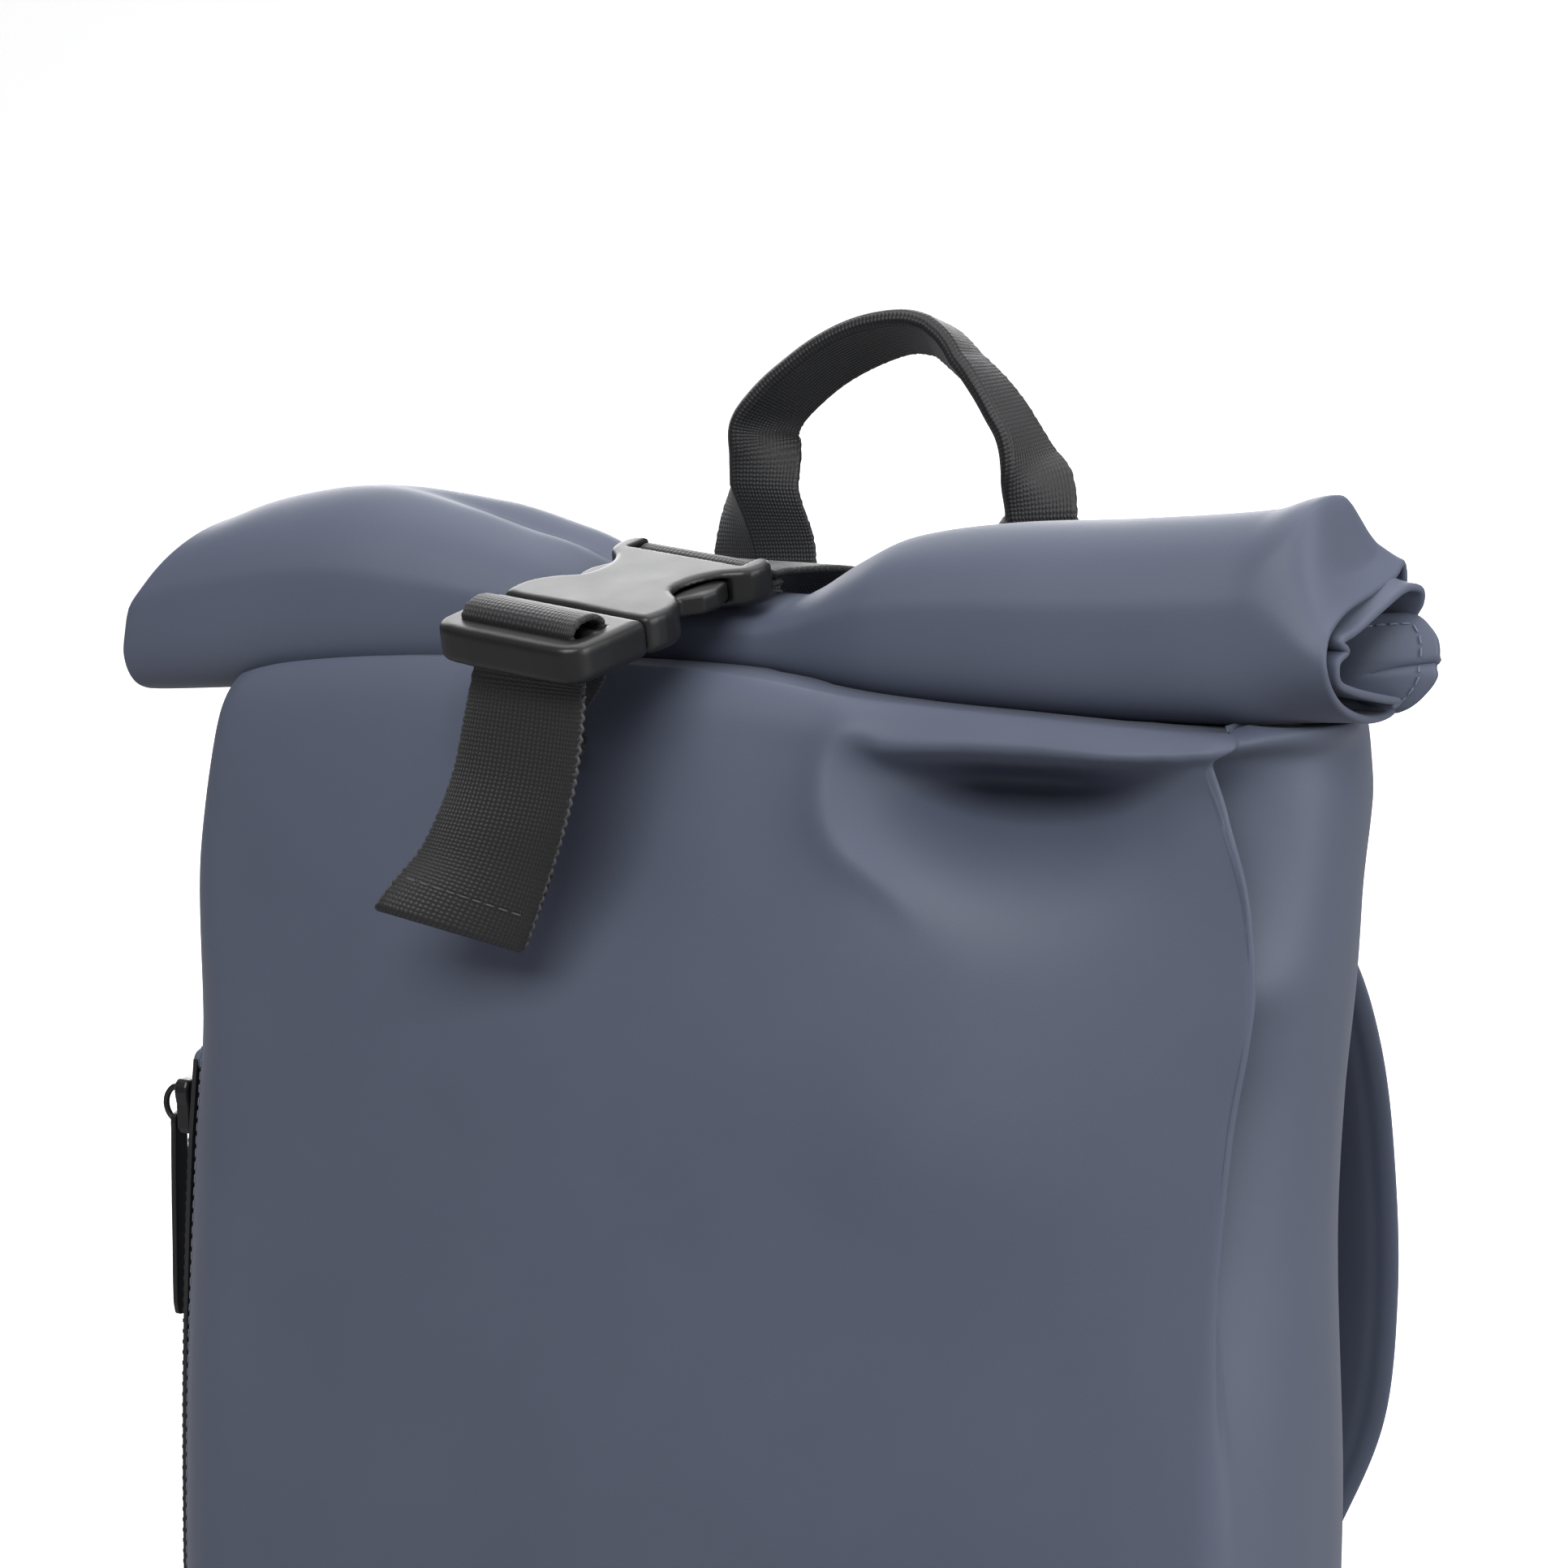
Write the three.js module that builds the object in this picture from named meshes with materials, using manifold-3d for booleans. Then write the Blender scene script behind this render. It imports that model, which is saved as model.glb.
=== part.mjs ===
// A rolltop backpack: a coated-fabric bag whose mouth is rolled down and held by a webbing strap with a buckle.
// Millimetres. X runs across the pack, Y from its front to its back, Z up from the floor that it stands on.
import * as THREE from "three";
import { mergeVertices } from "three/addons/utils/BufferGeometryUtils.js";
import Module from "manifold-3d";

const wasm = await Module();
wasm.setup();

// Sizes of the bag
const bodyWidth = 308;
const bodyDepth = 120;
const shoulderHeight = 378;
const clothWall = 1.6;
const clearance = 0.3;
const mouthLength = 268;
const mouthWidth = 12;

// Sizes of the roll
const rollLength = 351;
const rollHeight = 54;
const rollDepth = 48;
const rollWall = 2;
const rollTurns = 2.25;
const rollSetback = 20;
const hemReach = 14;
const valleyShift = -3;

// Sizes of the webbing and the buckle
const webbingWidth = 38;
const webbingThickness = 1.8;
const strapSkew = 16;
const buckleTilt = 14;
const buckleWidth = 50;
const buckleLength = 76;
const buckleRoll = 5;
const buckleThickness = 10;
const frameLength = 26;
const barRadius = 2.4;
const slotOverWebbing = 1.4;
const housingWall = 1.9;

// Sizes of the handle, the zip and the shoulder straps
const gripWidth = 19;
const gripThickness = 5.5;
const handleRise = 104;
const zipLength = 212;
const zipWidth = 10;
const zipThickness = 1.2;
const sliderLength = 15;
const sliderWidth = 9;
const sliderThickness = 4.4;
const bailWire = 0.9;
const pullLength = 58;
const pullWidth = 7;
const pullThickness = 1.8;
const padWidth = 56;
const padThickness = 9;
const lowerWebbingWidth = 25;
const lowerWebbingThickness = 1.6;

const halfWidth = bodyWidth / 2;
const halfDepth = bodyDepth / 2;
const vec = (x, y, z) => new THREE.Vector3(x, y, z);
const mix = (a, b, t) => a + (b - a) * t;
const bell = (d, reach) => Math.exp(-((d / reach) ** 2));

// Names the columns of a table whose rows are written as plain lists.
function table(names, rows) {
  return rows.map((row) => Object.fromEntries(names.map((name, i) => [name, row[i]])));
}

// Goes smoothly from 0 at the first place to 1 at the second.
function ramp(from, to, value) {
  const t = Math.min(1, Math.max(0, (value - from) / (to - from)));
  return t * t * (3 - 2 * t);
}

// Reads one column of a table at a place between its rows, with cubic pieces that share their slopes.
function read(rows, column, place) {
  const key = Object.keys(rows[0])[0];
  const last = rows.length - 1;
  if (place <= rows[0][key]) return rows[0][column];
  if (place >= rows[last][key]) return rows[last][column];
  const i = rows.findIndex((row, k) => k < last && rows[k + 1][key] >= place);
  const slope = (k) => {
    const a = rows[Math.max(k - 1, 0)];
    const b = rows[Math.min(k + 1, last)];
    return (b[column] - a[column]) / (b[key] - a[key]);
  };
  const step = rows[i + 1][key] - rows[i][key];
  const t = (place - rows[i][key]) / step;
  const start = rows[i][column] * (1 + 2 * t) * (1 - t) ** 2 + slope(i) * step * t * (1 - t) ** 2;
  const end = rows[i + 1][column] * t * t * (3 - 2 * t) + slope(i + 1) * step * t * t * (t - 1);
  return start + end;
}

// Level sections of the bag. height is a share of the shoulder height; left and right are shares of the half width,
// front and back of the half depth; edge and heel are the corner radii, belly and ears the outward bulges, as
// shares of the half depth.
const sections = table(
  ["height", "left", "right", "front", "back", "edge", "heel", "belly", "earLeft", "earRight"],
  [
    [0, 0.93, 0.93, 0.9, 0.9, 0.3, 0.3, 0, 0, 0],
    [0.012, 0.975, 0.975, 0.97, 0.97, 0.27, 0.27, 0.02, 0.01, 0.01],
    [0.05, 0.995, 0.995, 1, 1, 0.22, 0.25, 0.06, 0.05, 0.05],
    [0.2, 1, 1, 0.99, 1, 0.17, 0.25, 0.12, 0.1, 0.1],
    [0.45, 1, 0.995, 0.95, 1, 0.13, 0.25, 0.18, 0.11, 0.16],
    [0.64, 0.995, 0.97, 0.86, 1, 0.1, 0.25, 0.24, 0.1, 0.18],
    [0.74, 0.985, 0.985, 0.83, 0.98, 0.08, 0.26, 0.26, 0.06, 0.16],
    [0.82, 0.975, 1.01, 0.81, 0.95, 0.08, 0.28, 0.25, 0.04, 0.14],
    [0.89, 0.96, 1.005, 0.8, 0.88, 0.09, 0.3, 0.22, 0.02, 0.19],
    [0.945, 0.935, 0.975, 0.8, 0.82, 0.12, 0.3, 0.16, -0.04, 0.3],
    [0.98, 0.9, 0.945, 0.79, 0.74, 0.16, 0.3, 0.1, -0.06, 0.36],
    [1, 0.855, 0.93, 0.74, 0.68, 0.22, 0.3, 0.06, -0.06, 0.34],
  ],
);

// How far the shoulder line of the bag rises over its height at each place across, as shares of the roll height.
const shoulderLine = table(
  ["across", "front"],
  [
    [-1, -0.06],
    [-0.85, 0.03],
    [-0.6, 0.09],
    [-0.2, 0.13],
    [0.1, 0.11],
    [0.35, 0.02],
    [0.6, -0.02],
    [1, -0.08],
  ],
);

// Dents and swellings of the front panel: where they lie across (share of the half width) and up (share of the
// shoulder height), how far they reach each way, and how deep they go (share of the half depth, minus outwards).
const frontDents = table(
  ["across", "up", "reachAcross", "reachUp", "depth"],
  [
    [0.66, 0.947, 0.27, 0.034, 0.3],
    [0.56, 0.905, 0.2, 0.035, 0.12],
    [0.72, 0.988, 0.5, 0.02, -0.16],
    [0.32, 0.93, 0.09, 0.06, -0.05],
    [-0.15, 0.9, 0.16, 0.06, 0.07],
    [0.6, 0.72, 0.3, 0.1, -0.06],
  ],
);

// The fold of the right side wall just behind the front edge: a valley whose depth changes up the wall.
const sideValley = table(
  ["height", "depth"],
  [
    [0, 0],
    [0.5, 0.02],
    [0.66, 0.08],
    [0.76, 0.1],
    [0.81, 0.03],
    [0.85, 0.09],
    [0.92, 0.16],
    [0.98, 0.12],
    [1, 0.05],
  ],
);

// The roll seen along its length. place is a share of half the roll length from the strap's middle; top and bottom
// are shares of the roll height above the shoulder, front and back shares of the roll depth from the roll's middle.
const rollSections = table(
  ["place", "top", "bottom", "front", "back"],
  [
    [-0.98, 0.52, -0.02, 0.42, 0.36],
    [-0.94, 0.66, -0.02, 0.46, 0.4],
    [-0.84, 0.81, -0.02, 0.49, 0.45],
    [-0.67, 0.93, -0.02, 0.5, 0.48],
    [-0.54, 0.97, -0.01, 0.5, 0.5],
    [-0.4, 0.9, 0.01, 0.48, 0.5],
    [-0.3, 0.78, 0.04, 0.44, 0.5],
    [-0.24, 0.63, 0.07, 0.37, 0.53],
    [-0.19, 0.53, 0.09, 0.3, 0.57],
    [0, 0.49, 0.1, 0.29, 0.58],
    [0.14, 0.475, 0.09, 0.3, 0.57],
    [0.2, 0.55, 0.08, 0.33, 0.55],
    [0.27, 0.68, 0.06, 0.4, 0.52],
    [0.34, 0.78, 0.04, 0.46, 0.5],
    [0.48, 0.85, 0.01, 0.5, 0.49],
    [0.68, 0.89, -0.01, 0.52, 0.48],
    [0.88, 0.95, -0.01, 0.52, 0.48],
    [0.94, 1.01, 0, 0.52, 0.48],
    [1.01, 1.03, 0.01, 0.5, 0.46],
    [1.04, 0.99, 0.03, 0.48, 0.44],
  ],
);

// Limits of the rolled cloth at a place across the pack: its top, bottom, front and back.
function rollBox(x, y = -rollSetback) {
  const skew = Math.tan((strapSkew * Math.PI) / 180) * (y + rollSetback);
  const place = (x - valleyShift - skew) / (rollLength / 2);
  return {
    top: shoulderHeight + rollHeight * read(rollSections, "top", place),
    bottom: shoulderHeight + rollHeight * read(rollSections, "bottom", place),
    front: -rollSetback - rollDepth * read(rollSections, "front", place),
    back: -rollSetback + rollDepth * read(rollSections, "back", place),
  };
}

// A point of the bag's outer surface. level runs from -1 at the middle of the base over 0 at its rim and 1 at the
// shoulder to 2 at the mouth. sx and sy lie on the outline of a square from -1 to 1, sy = -1 being the front.
function bagPoint(level, sx, sy) {
  const height = Math.min(1, Math.max(0, level));
  const at = (column) => read(sections, column, height);
  const halfX = halfWidth * (sx < 0 ? at("left") : at("right"));
  const halfY = halfDepth * (sy < 0 ? at("front") : at("back"));
  const corner = halfDepth * (sy < 0 ? at("edge") : at("heel"));
  const flat = vec(sx * halfX, sy * halfY, 0);
  const inner = vec(
    Math.min(halfX - corner, Math.max(corner - halfX, flat.x)),
    Math.min(halfY - corner, Math.max(corner - halfY, flat.y)),
    0,
  );
  const out = flat.clone().sub(inner);
  const point = out.length() > 0 ? inner.add(out.setLength(corner)) : flat;
  const nx = point.x / halfX;
  const ny = point.y / halfY;
  const facing = Math.max(0, -ny) ** 2;
  point.y -= halfDepth * at("belly") * (1 - nx * nx) * facing;
  const ear = nx < 0 ? at("earLeft") : at("earRight");
  point.x += Math.sign(nx) * halfDepth * ear * (1 - ny * ny) * nx * nx;
  const valley = halfDepth * read(sideValley, "depth", height) * bell(ny + 0.72, 0.2);
  point.x -= ramp(0.8, 1, nx) * valley;
  for (const dent of frontDents) {
    const near = bell(nx - dent.across, dent.reachAcross) * bell(height - dent.up, dent.reachUp);
    point.y += halfDepth * dent.depth * near * facing;
  }
  const lift = ramp(0.85, 1, height) * facing * rollHeight * read(shoulderLine, "front", nx);
  const droop = ramp(0.85, 1, height) * (1 - facing) * 0.06 * rollHeight;
  point.z = shoulderHeight * height + lift - droop;
  if (level < 0) point.set(point.x * (1 + level), point.y * (1 + level), 0);
  if (level > 1) {
    const lipX = (sx * mouthLength) / 2 + (rollLength - mouthLength) * 0.12;
    const lipY = -rollSetback + (sy * mouthWidth) / 2;
    const lip = vec(lipX, lipY, rollBox(lipX).bottom - clearance);
    const inwards = level - 1;
    const fall = ramp(0, 1, inwards);
    point.set(mix(point.x, lip.x, inwards), mix(point.y, lip.y, inwards), mix(point.z, lip.z, fall));
  }
  return point;
}

// Y of the bag's front or back panel at a place across and a height, from the outer surface.
function panelY(x, z, side) {
  const height = z / shoulderHeight;
  const column = x < 0 ? "left" : "right";
  const nx = x / (halfWidth * read(sections, column, height));
  return bagPoint(height, nx, side).y;
}

// Y at which a flat band of a given width lies on the front (side -1) or back (side 1) panel without entering it.
function seatY(x, z, side, width) {
  const places = [-0.5, -0.25, 0, 0.25, 0.5].map((t) => side * panelY(x + t * width, z, side));
  return side * (Math.max(...places) + clearance);
}

// Closed solid from vertices and faces given as lists of corner numbers; faces with more corners become fans.
function solidFrom(points, faces) {
  const position = new Float32Array(points.flatMap((p) => [p.x, p.y, p.z]));
  const index = faces.flatMap((f) => f.slice(2).flatMap((_, i) => [f[0], f[i + 1], f[i + 2]]));
  const geometry = new THREE.BufferGeometry();
  geometry.setAttribute("position", new THREE.BufferAttribute(position, 3));
  geometry.setIndex(index);
  const merged = mergeVertices(geometry, 1e-4);
  const corners = Array.from(merged.index.array);
  const kept = [];
  for (let i = 0; i < corners.length; i += 3) {
    const [a, b, c] = corners.slice(i, i + 3);
    if (a !== b && b !== c && c !== a) kept.push(a, b, c);
  }
  merged.setIndex(kept);
  merged.computeVertexNormals();
  return merged;
}

// Solid between two sheets of points with equal rows and columns. The first sheet faces out; a closed sheet joins
// its last column to its first, and a row with one place for all its points closes there by itself.
function sheetSolid(outer, inner, closed, openStart = true) {
  const rows = outer.length;
  const columns = outer[0].length;
  const points = [...outer.flat(), ...inner.flat()];
  const at = (layer, i, j) => layer * rows * columns + i * columns + (j % columns);
  const faces = [];
  const spans = closed ? columns : columns - 1;
  for (let i = 0; i < rows - 1; i++)
    for (let j = 0; j < spans; j++) {
      faces.push([at(0, i, j), at(0, i, j + 1), at(0, i + 1, j + 1), at(0, i + 1, j)]);
      faces.push([at(1, i, j), at(1, i + 1, j), at(1, i + 1, j + 1), at(1, i, j + 1)]);
    }
  for (let j = 0; j < spans; j++) {
    if (openStart) faces.push([at(0, 0, j), at(1, 0, j), at(1, 0, j + 1), at(0, 0, j + 1)]);
    const top = rows - 1;
    faces.push([at(0, top, j), at(0, top, j + 1), at(1, top, j + 1), at(1, top, j)]);
  }
  if (!closed)
    for (let i = 0; i < rows - 1; i++) {
      const end = columns - 1;
      faces.push([at(0, i, 0), at(0, i + 1, 0), at(1, i + 1, 0), at(1, i, 0)]);
      faces.push([at(0, i, end), at(1, i, end), at(1, i + 1, end), at(0, i + 1, end)]);
    }
  return solidFrom(points, faces);
}

// The outward unit normals of a sheet of points, from the differences of neighbours.
function sheetNormals(sheet, closed) {
  const columns = sheet[0].length;
  return sheet.map((row, i) =>
    row.map((_, j) => {
      const before = sheet[Math.max(i - 1, 0)][j];
      const after = sheet[Math.min(i + 1, sheet.length - 1)][j];
      const left = closed ? (j - 1 + columns) % columns : Math.max(j - 1, 0);
      const right = closed ? (j + 1) % columns : Math.min(j + 1, columns - 1);
      const along = row[right].clone().sub(row[left]);
      return along.cross(after.clone().sub(before)).normalize();
    }),
  );
}

// Solid swept through rows of a closed section, one list of points for each place along the path.
function loftSolid(rings) {
  const sides = rings[0].length;
  const points = rings.flat();
  const at = (i, j) => i * sides + (j % sides);
  const faces = [];
  for (let i = 0; i < rings.length - 1; i++)
    for (let j = 0; j < sides; j++) faces.push([at(i, j), at(i, j + 1), at(i + 1, j + 1), at(i + 1, j)]);
  const end = rings.length - 1;
  faces.push(Array.from({ length: sides }, (_, j) => at(0, sides - 1 - j)));
  faces.push(Array.from({ length: sides }, (_, j) => at(end, j)));
  return solidFrom(points, faces);
}

// Band swept along a path of places. Each place has its centre and the direction across the band; width, thickness
// and roundness may change along it. Flat bands have four corners, rounded ones have ten.
function bandSolid(places, sides = 4) {
  const rings = places.map((place, i) => {
    const before = places[Math.max(i - 1, 0)].centre;
    const after = places[Math.min(i + 1, places.length - 1)].centre;
    const along = after.clone().sub(before).normalize();
    const across = place.across.clone().addScaledVector(along, -place.across.dot(along)).normalize();
    const out = along.clone().cross(across).normalize();
    return Array.from({ length: sides }, (_, j) => {
      const turn = (2 * Math.PI * (j + 0.5)) / sides;
      const wide = sides === 4 ? Math.sign(Math.cos(turn)) : roundShare(Math.cos(turn), place.round);
      const deep = sides === 4 ? Math.sign(Math.sin(turn)) : roundShare(Math.sin(turn), place.round);
      return place.centre
        .clone()
        .addScaledVector(across, (wide * place.width) / 2)
        .addScaledVector(out, (deep * place.thickness) / 2);
    });
  });
  return loftSolid(rings);
}

const roundShare = (value, power = 0.5) => Math.sign(value) * Math.abs(value) ** power;

// Places along a smooth curve through a table's rows, each row giving a centre, an across direction, a width and
// a thickness.
function smoothPlaces(rows, count) {
  const centres = new THREE.CatmullRomCurve3(rows.map((row) => row.centre), false, "centripetal");
  return Array.from({ length: count }, (_, k) => {
    const t = k / (count - 1);
    const s = t * (rows.length - 1);
    const i = Math.min(Math.floor(s), rows.length - 2);
    const f = s - i;
    const blend = (name) => mix(rows[i][name], rows[i + 1][name], ramp(0, 1, f));
    return {
      centre: centres.getPoint(t),
      across: rows[i].across.clone().lerp(rows[i + 1].across, ramp(0, 1, f)),
      width: blend("width"),
      thickness: blend("thickness"),
      round: blend("round"),
    };
  });
}

// Boolean work on closed geometries
function solidOf(geometry) {
  const plain = geometry.clone();
  plain.deleteAttribute("normal");
  if (plain.attributes.uv) plain.deleteAttribute("uv");
  const merged = mergeVertices(plain, 1e-4);
  return new wasm.Manifold(
    new wasm.Mesh({
      numProp: 3,
      vertProperties: merged.attributes.position.array,
      triVerts: new Uint32Array(merged.index.array),
    }),
  );
}

function geometryOf(solid) {
  const mesh = solid.getMesh();
  const geometry = new THREE.BufferGeometry();
  geometry.setAttribute("position", new THREE.BufferAttribute(mesh.vertProperties, 3));
  geometry.setIndex(new THREE.BufferAttribute(mesh.triVerts, 1));
  geometry.computeVertexNormals();
  return geometry;
}

function joined(...geometries) {
  return geometryOf(geometries.map(solidOf).reduce((a, b) => a.add(b)));
}

function cut(geometry, ...tools) {
  return geometryOf(tools.map(solidOf).reduce((a, b) => a.subtract(b), solidOf(geometry)));
}

// A box from its two opposite corners.
function block(low, high) {
  const size = high.clone().sub(low);
  const middle = high.clone().add(low).multiplyScalar(0.5);
  return new THREE.BoxGeometry(size.x, size.y, size.z).translate(middle.x, middle.y, middle.z);
}

// A round bar along X.
function barAcross(length, radius, y, z, sides = 14) {
  return new THREE.CylinderGeometry(radius, radius, length, sides).rotateZ(Math.PI / 2).translate(0, y, z);
}

// A plate from a plan outline, centred on z = 0, with rounded rims.
function plate(outline, thickness, rim) {
  const shape = new THREE.Shape(outline);
  const settings = {
    depth: thickness - 2 * rim,
    bevelEnabled: true,
    bevelThickness: rim,
    bevelSize: rim,
    bevelOffset: -rim,
    bevelSegments: 3,
    curveSegments: 6,
  };
  return new THREE.ExtrudeGeometry(shape, settings).translate(0, 0, rim - thickness / 2);
}

// Mirrors the right half of a plan outline to its left half.
function bothSides(half) {
  const left = half.map((p) => new THREE.Vector2(-p.x, p.y)).reverse();
  return [...half, ...left.filter((p) => Math.abs(p.x) > 1e-6)];
}

// A smooth plan outline through a few points of its right half.
function smoothHalf(points, count) {
  const curve = new THREE.CatmullRomCurve3(points.map(([x, y]) => vec(x, y, 0)), false, "centripetal");
  return curve.getPoints(count).map((p) => new THREE.Vector2(p.x, p.y));
}

const colours = {
  cloth: { color: 0x535969, roughness: 0.62, metalness: 0 },
  webbing: { color: 0x202022, roughness: 0.75, metalness: 0 },
  plastic: { color: 0x1b1b1d, roughness: 0.4, metalness: 0 },
  zip: { color: 0x151517, roughness: 0.35, metalness: 0.1 },
};

const pack = new THREE.Group();

function addPiece(name, geometry, kind, parent = pack) {
  const mesh = new THREE.Mesh(geometry, new THREE.MeshStandardMaterial(colours[kind]));
  mesh.name = name;
  parent.add(mesh);
  return mesh;
}

// The square outline that every level of the bag follows, with its places closer together at the corners.
function squareOutline() {
  const side = [-0.965, -0.9, -0.75, -0.55, -0.35, -0.15, 0.05, 0.22, 0.36, 0.5, 0.62, 0.74, 0.85, 0.94, 0.98, 1];
  const wall = [-0.9, -0.72, -0.45, 0, 0.5, 0.82, 1];
  const back = [-0.9, -0.5, 0, 0.5, 0.9, 1];
  return [
    ...side.map((t) => [t, -1]),
    ...wall.map((t) => [1, t]),
    ...back.map((t) => [-t, 1]),
    ...wall.map((t) => [-1, -t]),
  ];
}

// Bag: base, four walls and the closed shoulder up to the narrow mouth under the roll.
function bagShell() {
  const walls = [0, 0.012, 0.05, 0.2, 0.42, 0.58, 0.7, 0.78, 0.84, 0.88, 0.908, 0.928, 0.944, 0.958, 0.972, 0.986, 1];
  const levels = [-1, -0.45, ...walls, 1.3, 1.65, 2];
  const outline = squareOutline();
  const outer = levels.map((level) => outline.map(([sx, sy]) => bagPoint(level, sx, sy)));
  const normals = sheetNormals(outer, true);
  const inner = outer.map((row, i) => row.map((p, j) => p.clone().addScaledVector(normals[i][j], -clothWall)));
  const pole = levels.indexOf(-1);
  inner[pole] = inner[pole].map(() => vec(0, 0, clothWall));
  inner[pole + 1].forEach((p, j) => p.set(outer[pole + 1][j].x, outer[pole + 1][j].y, clothWall));
  const rim = levels.length - 1;
  inner[rim].forEach((p, j) => {
    const [sx, sy] = outline[j];
    const lip = outer[rim][j];
    p.set(lip.x - sx * clothWall, lip.y - sy * clothWall, lip.z - 0.4 * clothWall);
  });
  return sheetSolid(outer, inner, true, false);
}

// How much the cloth has shrunk towards the roll's core after a number of turns.
function rollShare(turns) {
  const past = turns - 0.5;
  return 1 - 0.2 * (past + Math.sqrt(past * past + 0.01)) * 1;
}

// A point of the rolled cloth: share runs along the roll from its left end, turns along the cloth from the bag's
// mouth at the bottom over the back, the top and the front towards the core.
function rollPoint(share, turns) {
  const half = rollLength / 2;
  const reach = hemReach * ramp(0.9, rollTurns, turns);
  const leftEnd = -half + 0.08 * rollLength * ramp(0.25, 0.5, turns) * ramp(0.75, 0.5, turns) + reach;
  const x = mix(leftEnd, half + reach, share) + valleyShift / 2;
  const angle = 2 * Math.PI * (turns - 0.25);
  const guess = rollBox(x);
  const y = mix(guess.front, guess.back, (1 + Math.cos(angle)) / 2);
  const box = rollBox(x, y);
  const size = rollShare(turns);
  const middleZ = (box.top + box.bottom) / 2;
  const middleY = (box.front + box.back) / 2;
  return vec(
    x,
    middleY + ((box.back - box.front) / 2 - rollWall / 2) * size * Math.cos(angle),
    middleZ + ((box.top - box.bottom) / 2 - rollWall / 2) * size * Math.sin(angle),
  );
}

function rolledTop() {
  const stations = [0, 0.03, 0.09, 0.17, 0.26, 0.35, 0.4, 0.435, 0.49, 0.545, 0.58, 0.63, 0.7, 0.79, 0.9, 0.96, 1];
  const steps = 27;
  const sheet = stations.map((share) =>
    Array.from({ length: steps + 1 }, (_, k) => rollPoint(share, (rollTurns * k) / steps)),
  );
  const normals = sheetNormals(sheet, false);
  const shifted = (side) =>
    sheet.map((row, i) => row.map((p, j) => p.clone().addScaledVector(normals[i][j], (side * rollWall) / 2)));
  return sheetSolid(shifted(1), shifted(-1), false);
}

// Buckle: its own group, with X across the strap, Y along it from the frame's front bar and Z away from the pack
const skewAngle = (strapSkew * Math.PI) / 180;
const tiltAngle = (buckleTilt * Math.PI) / 180;
const rearY = -rollSetback - 0.04 * rollDepth;
const lineX = (y) => valleyShift + Math.tan(skewAngle) * (y + rollSetback);
const valleyTop = rollBox(lineX(rearY), rearY).top;
const rollAngle = (buckleRoll * Math.PI) / 180;
const lowSide = (buckleWidth / 4) * Math.sin(rollAngle);
const rearZ = valleyTop + clearance + lowSide + buckleThickness / 2 / Math.cos(tiltAngle) - 0.1;
const strapAlong = vec(
  Math.cos(tiltAngle) * Math.sin(skewAngle),
  Math.cos(tiltAngle) * Math.cos(skewAngle),
  Math.sin(tiltAngle),
);
const levelAcross = vec(Math.cos(skewAngle), -Math.sin(skewAngle), 0);
const strapAcross = levelAcross.clone().applyAxisAngle(strapAlong, rollAngle);
const strapOut = strapAcross.clone().cross(strapAlong);
const buckle = new THREE.Group();
buckle.position.copy(vec(lineX(rearY), rearY, rearZ).addScaledVector(strapAlong, -buckleLength));
buckle.quaternion.setFromRotationMatrix(new THREE.Matrix4().makeBasis(strapAcross, strapAlong, strapOut));
pack.add(buckle);

const fromBuckle = (along, out, across = 0) =>
  buckle.position
    .clone()
    .addScaledVector(strapAlong, along)
    .addScaledVector(strapOut, out)
    .addScaledVector(strapAcross, across);

const slotWidth = webbingWidth + slotOverWebbing;
const loopRadius = barRadius + clearance + webbingThickness / 2;
const slotDepth = webbingThickness + 2 * clearance + 0.4;
const middleBarY = 13.2;
const middleBarZ = 3;
const rearBarY = buckleLength - barRadius - 0.4;
const rearBarZ = -0.4;

// Plug half: three-bar frame, tongue and two sprung arms that reach into the socket.
function buckleFrame() {
  const half = buckleWidth / 2;
  const outline = bothSides(
    smoothHalf([[0, 0], [half * 0.6, 0.1], [half * 0.84, 1], [half * 0.97, 4], [half, 9], [half, frameLength]], 14),
  );
  const slots = [
    [middleBarY - barRadius - slotDepth, middleBarY - barRadius],
    [middleBarY + barRadius, middleBarY + barRadius + slotDepth],
  ].map(([from, to]) => block(vec(-slotWidth / 2, from, -buckleThickness), vec(slotWidth / 2, to, buckleThickness)));
  const lowered = block(
    vec(-slotWidth / 2, middleBarY - barRadius - 0.01, -buckleThickness),
    vec(slotWidth / 2, middleBarY + barRadius + 0.01, buckleThickness),
  );
  const frame = cut(plate(outline, buckleThickness, 2), ...slots, lowered);
  const bar = barAcross(slotWidth + 2, barRadius, middleBarY, middleBarZ);
  const armRoot = (frameLength - 2) / buckleLength;
  const tongueHigh = 0.2 * buckleThickness;
  const tongue = block(
    vec(-0.24 * half, armRoot * buckleLength, -tongueHigh),
    vec(0.24 * half, 0.765 * buckleLength, tongueHigh),
  );
  const arms = [-1, 1].map((side) => {
    const rail = [[0.568, armRoot], [0.744, armRoot], [0.704, 0.618], [0.856, 0.676], [0.88, 0.735], [0.776, 0.824],
      [0.608, 0.824], [0.544, 0.676]];
    const path = rail.map(([x, y]) => new THREE.Vector2(side * x * half, y * buckleLength));
    return plate(side > 0 ? path : path.reverse(), 0.52 * buckleThickness, 0.8);
  });
  return joined(frame, bar, tongue, ...arms);
}

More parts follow.
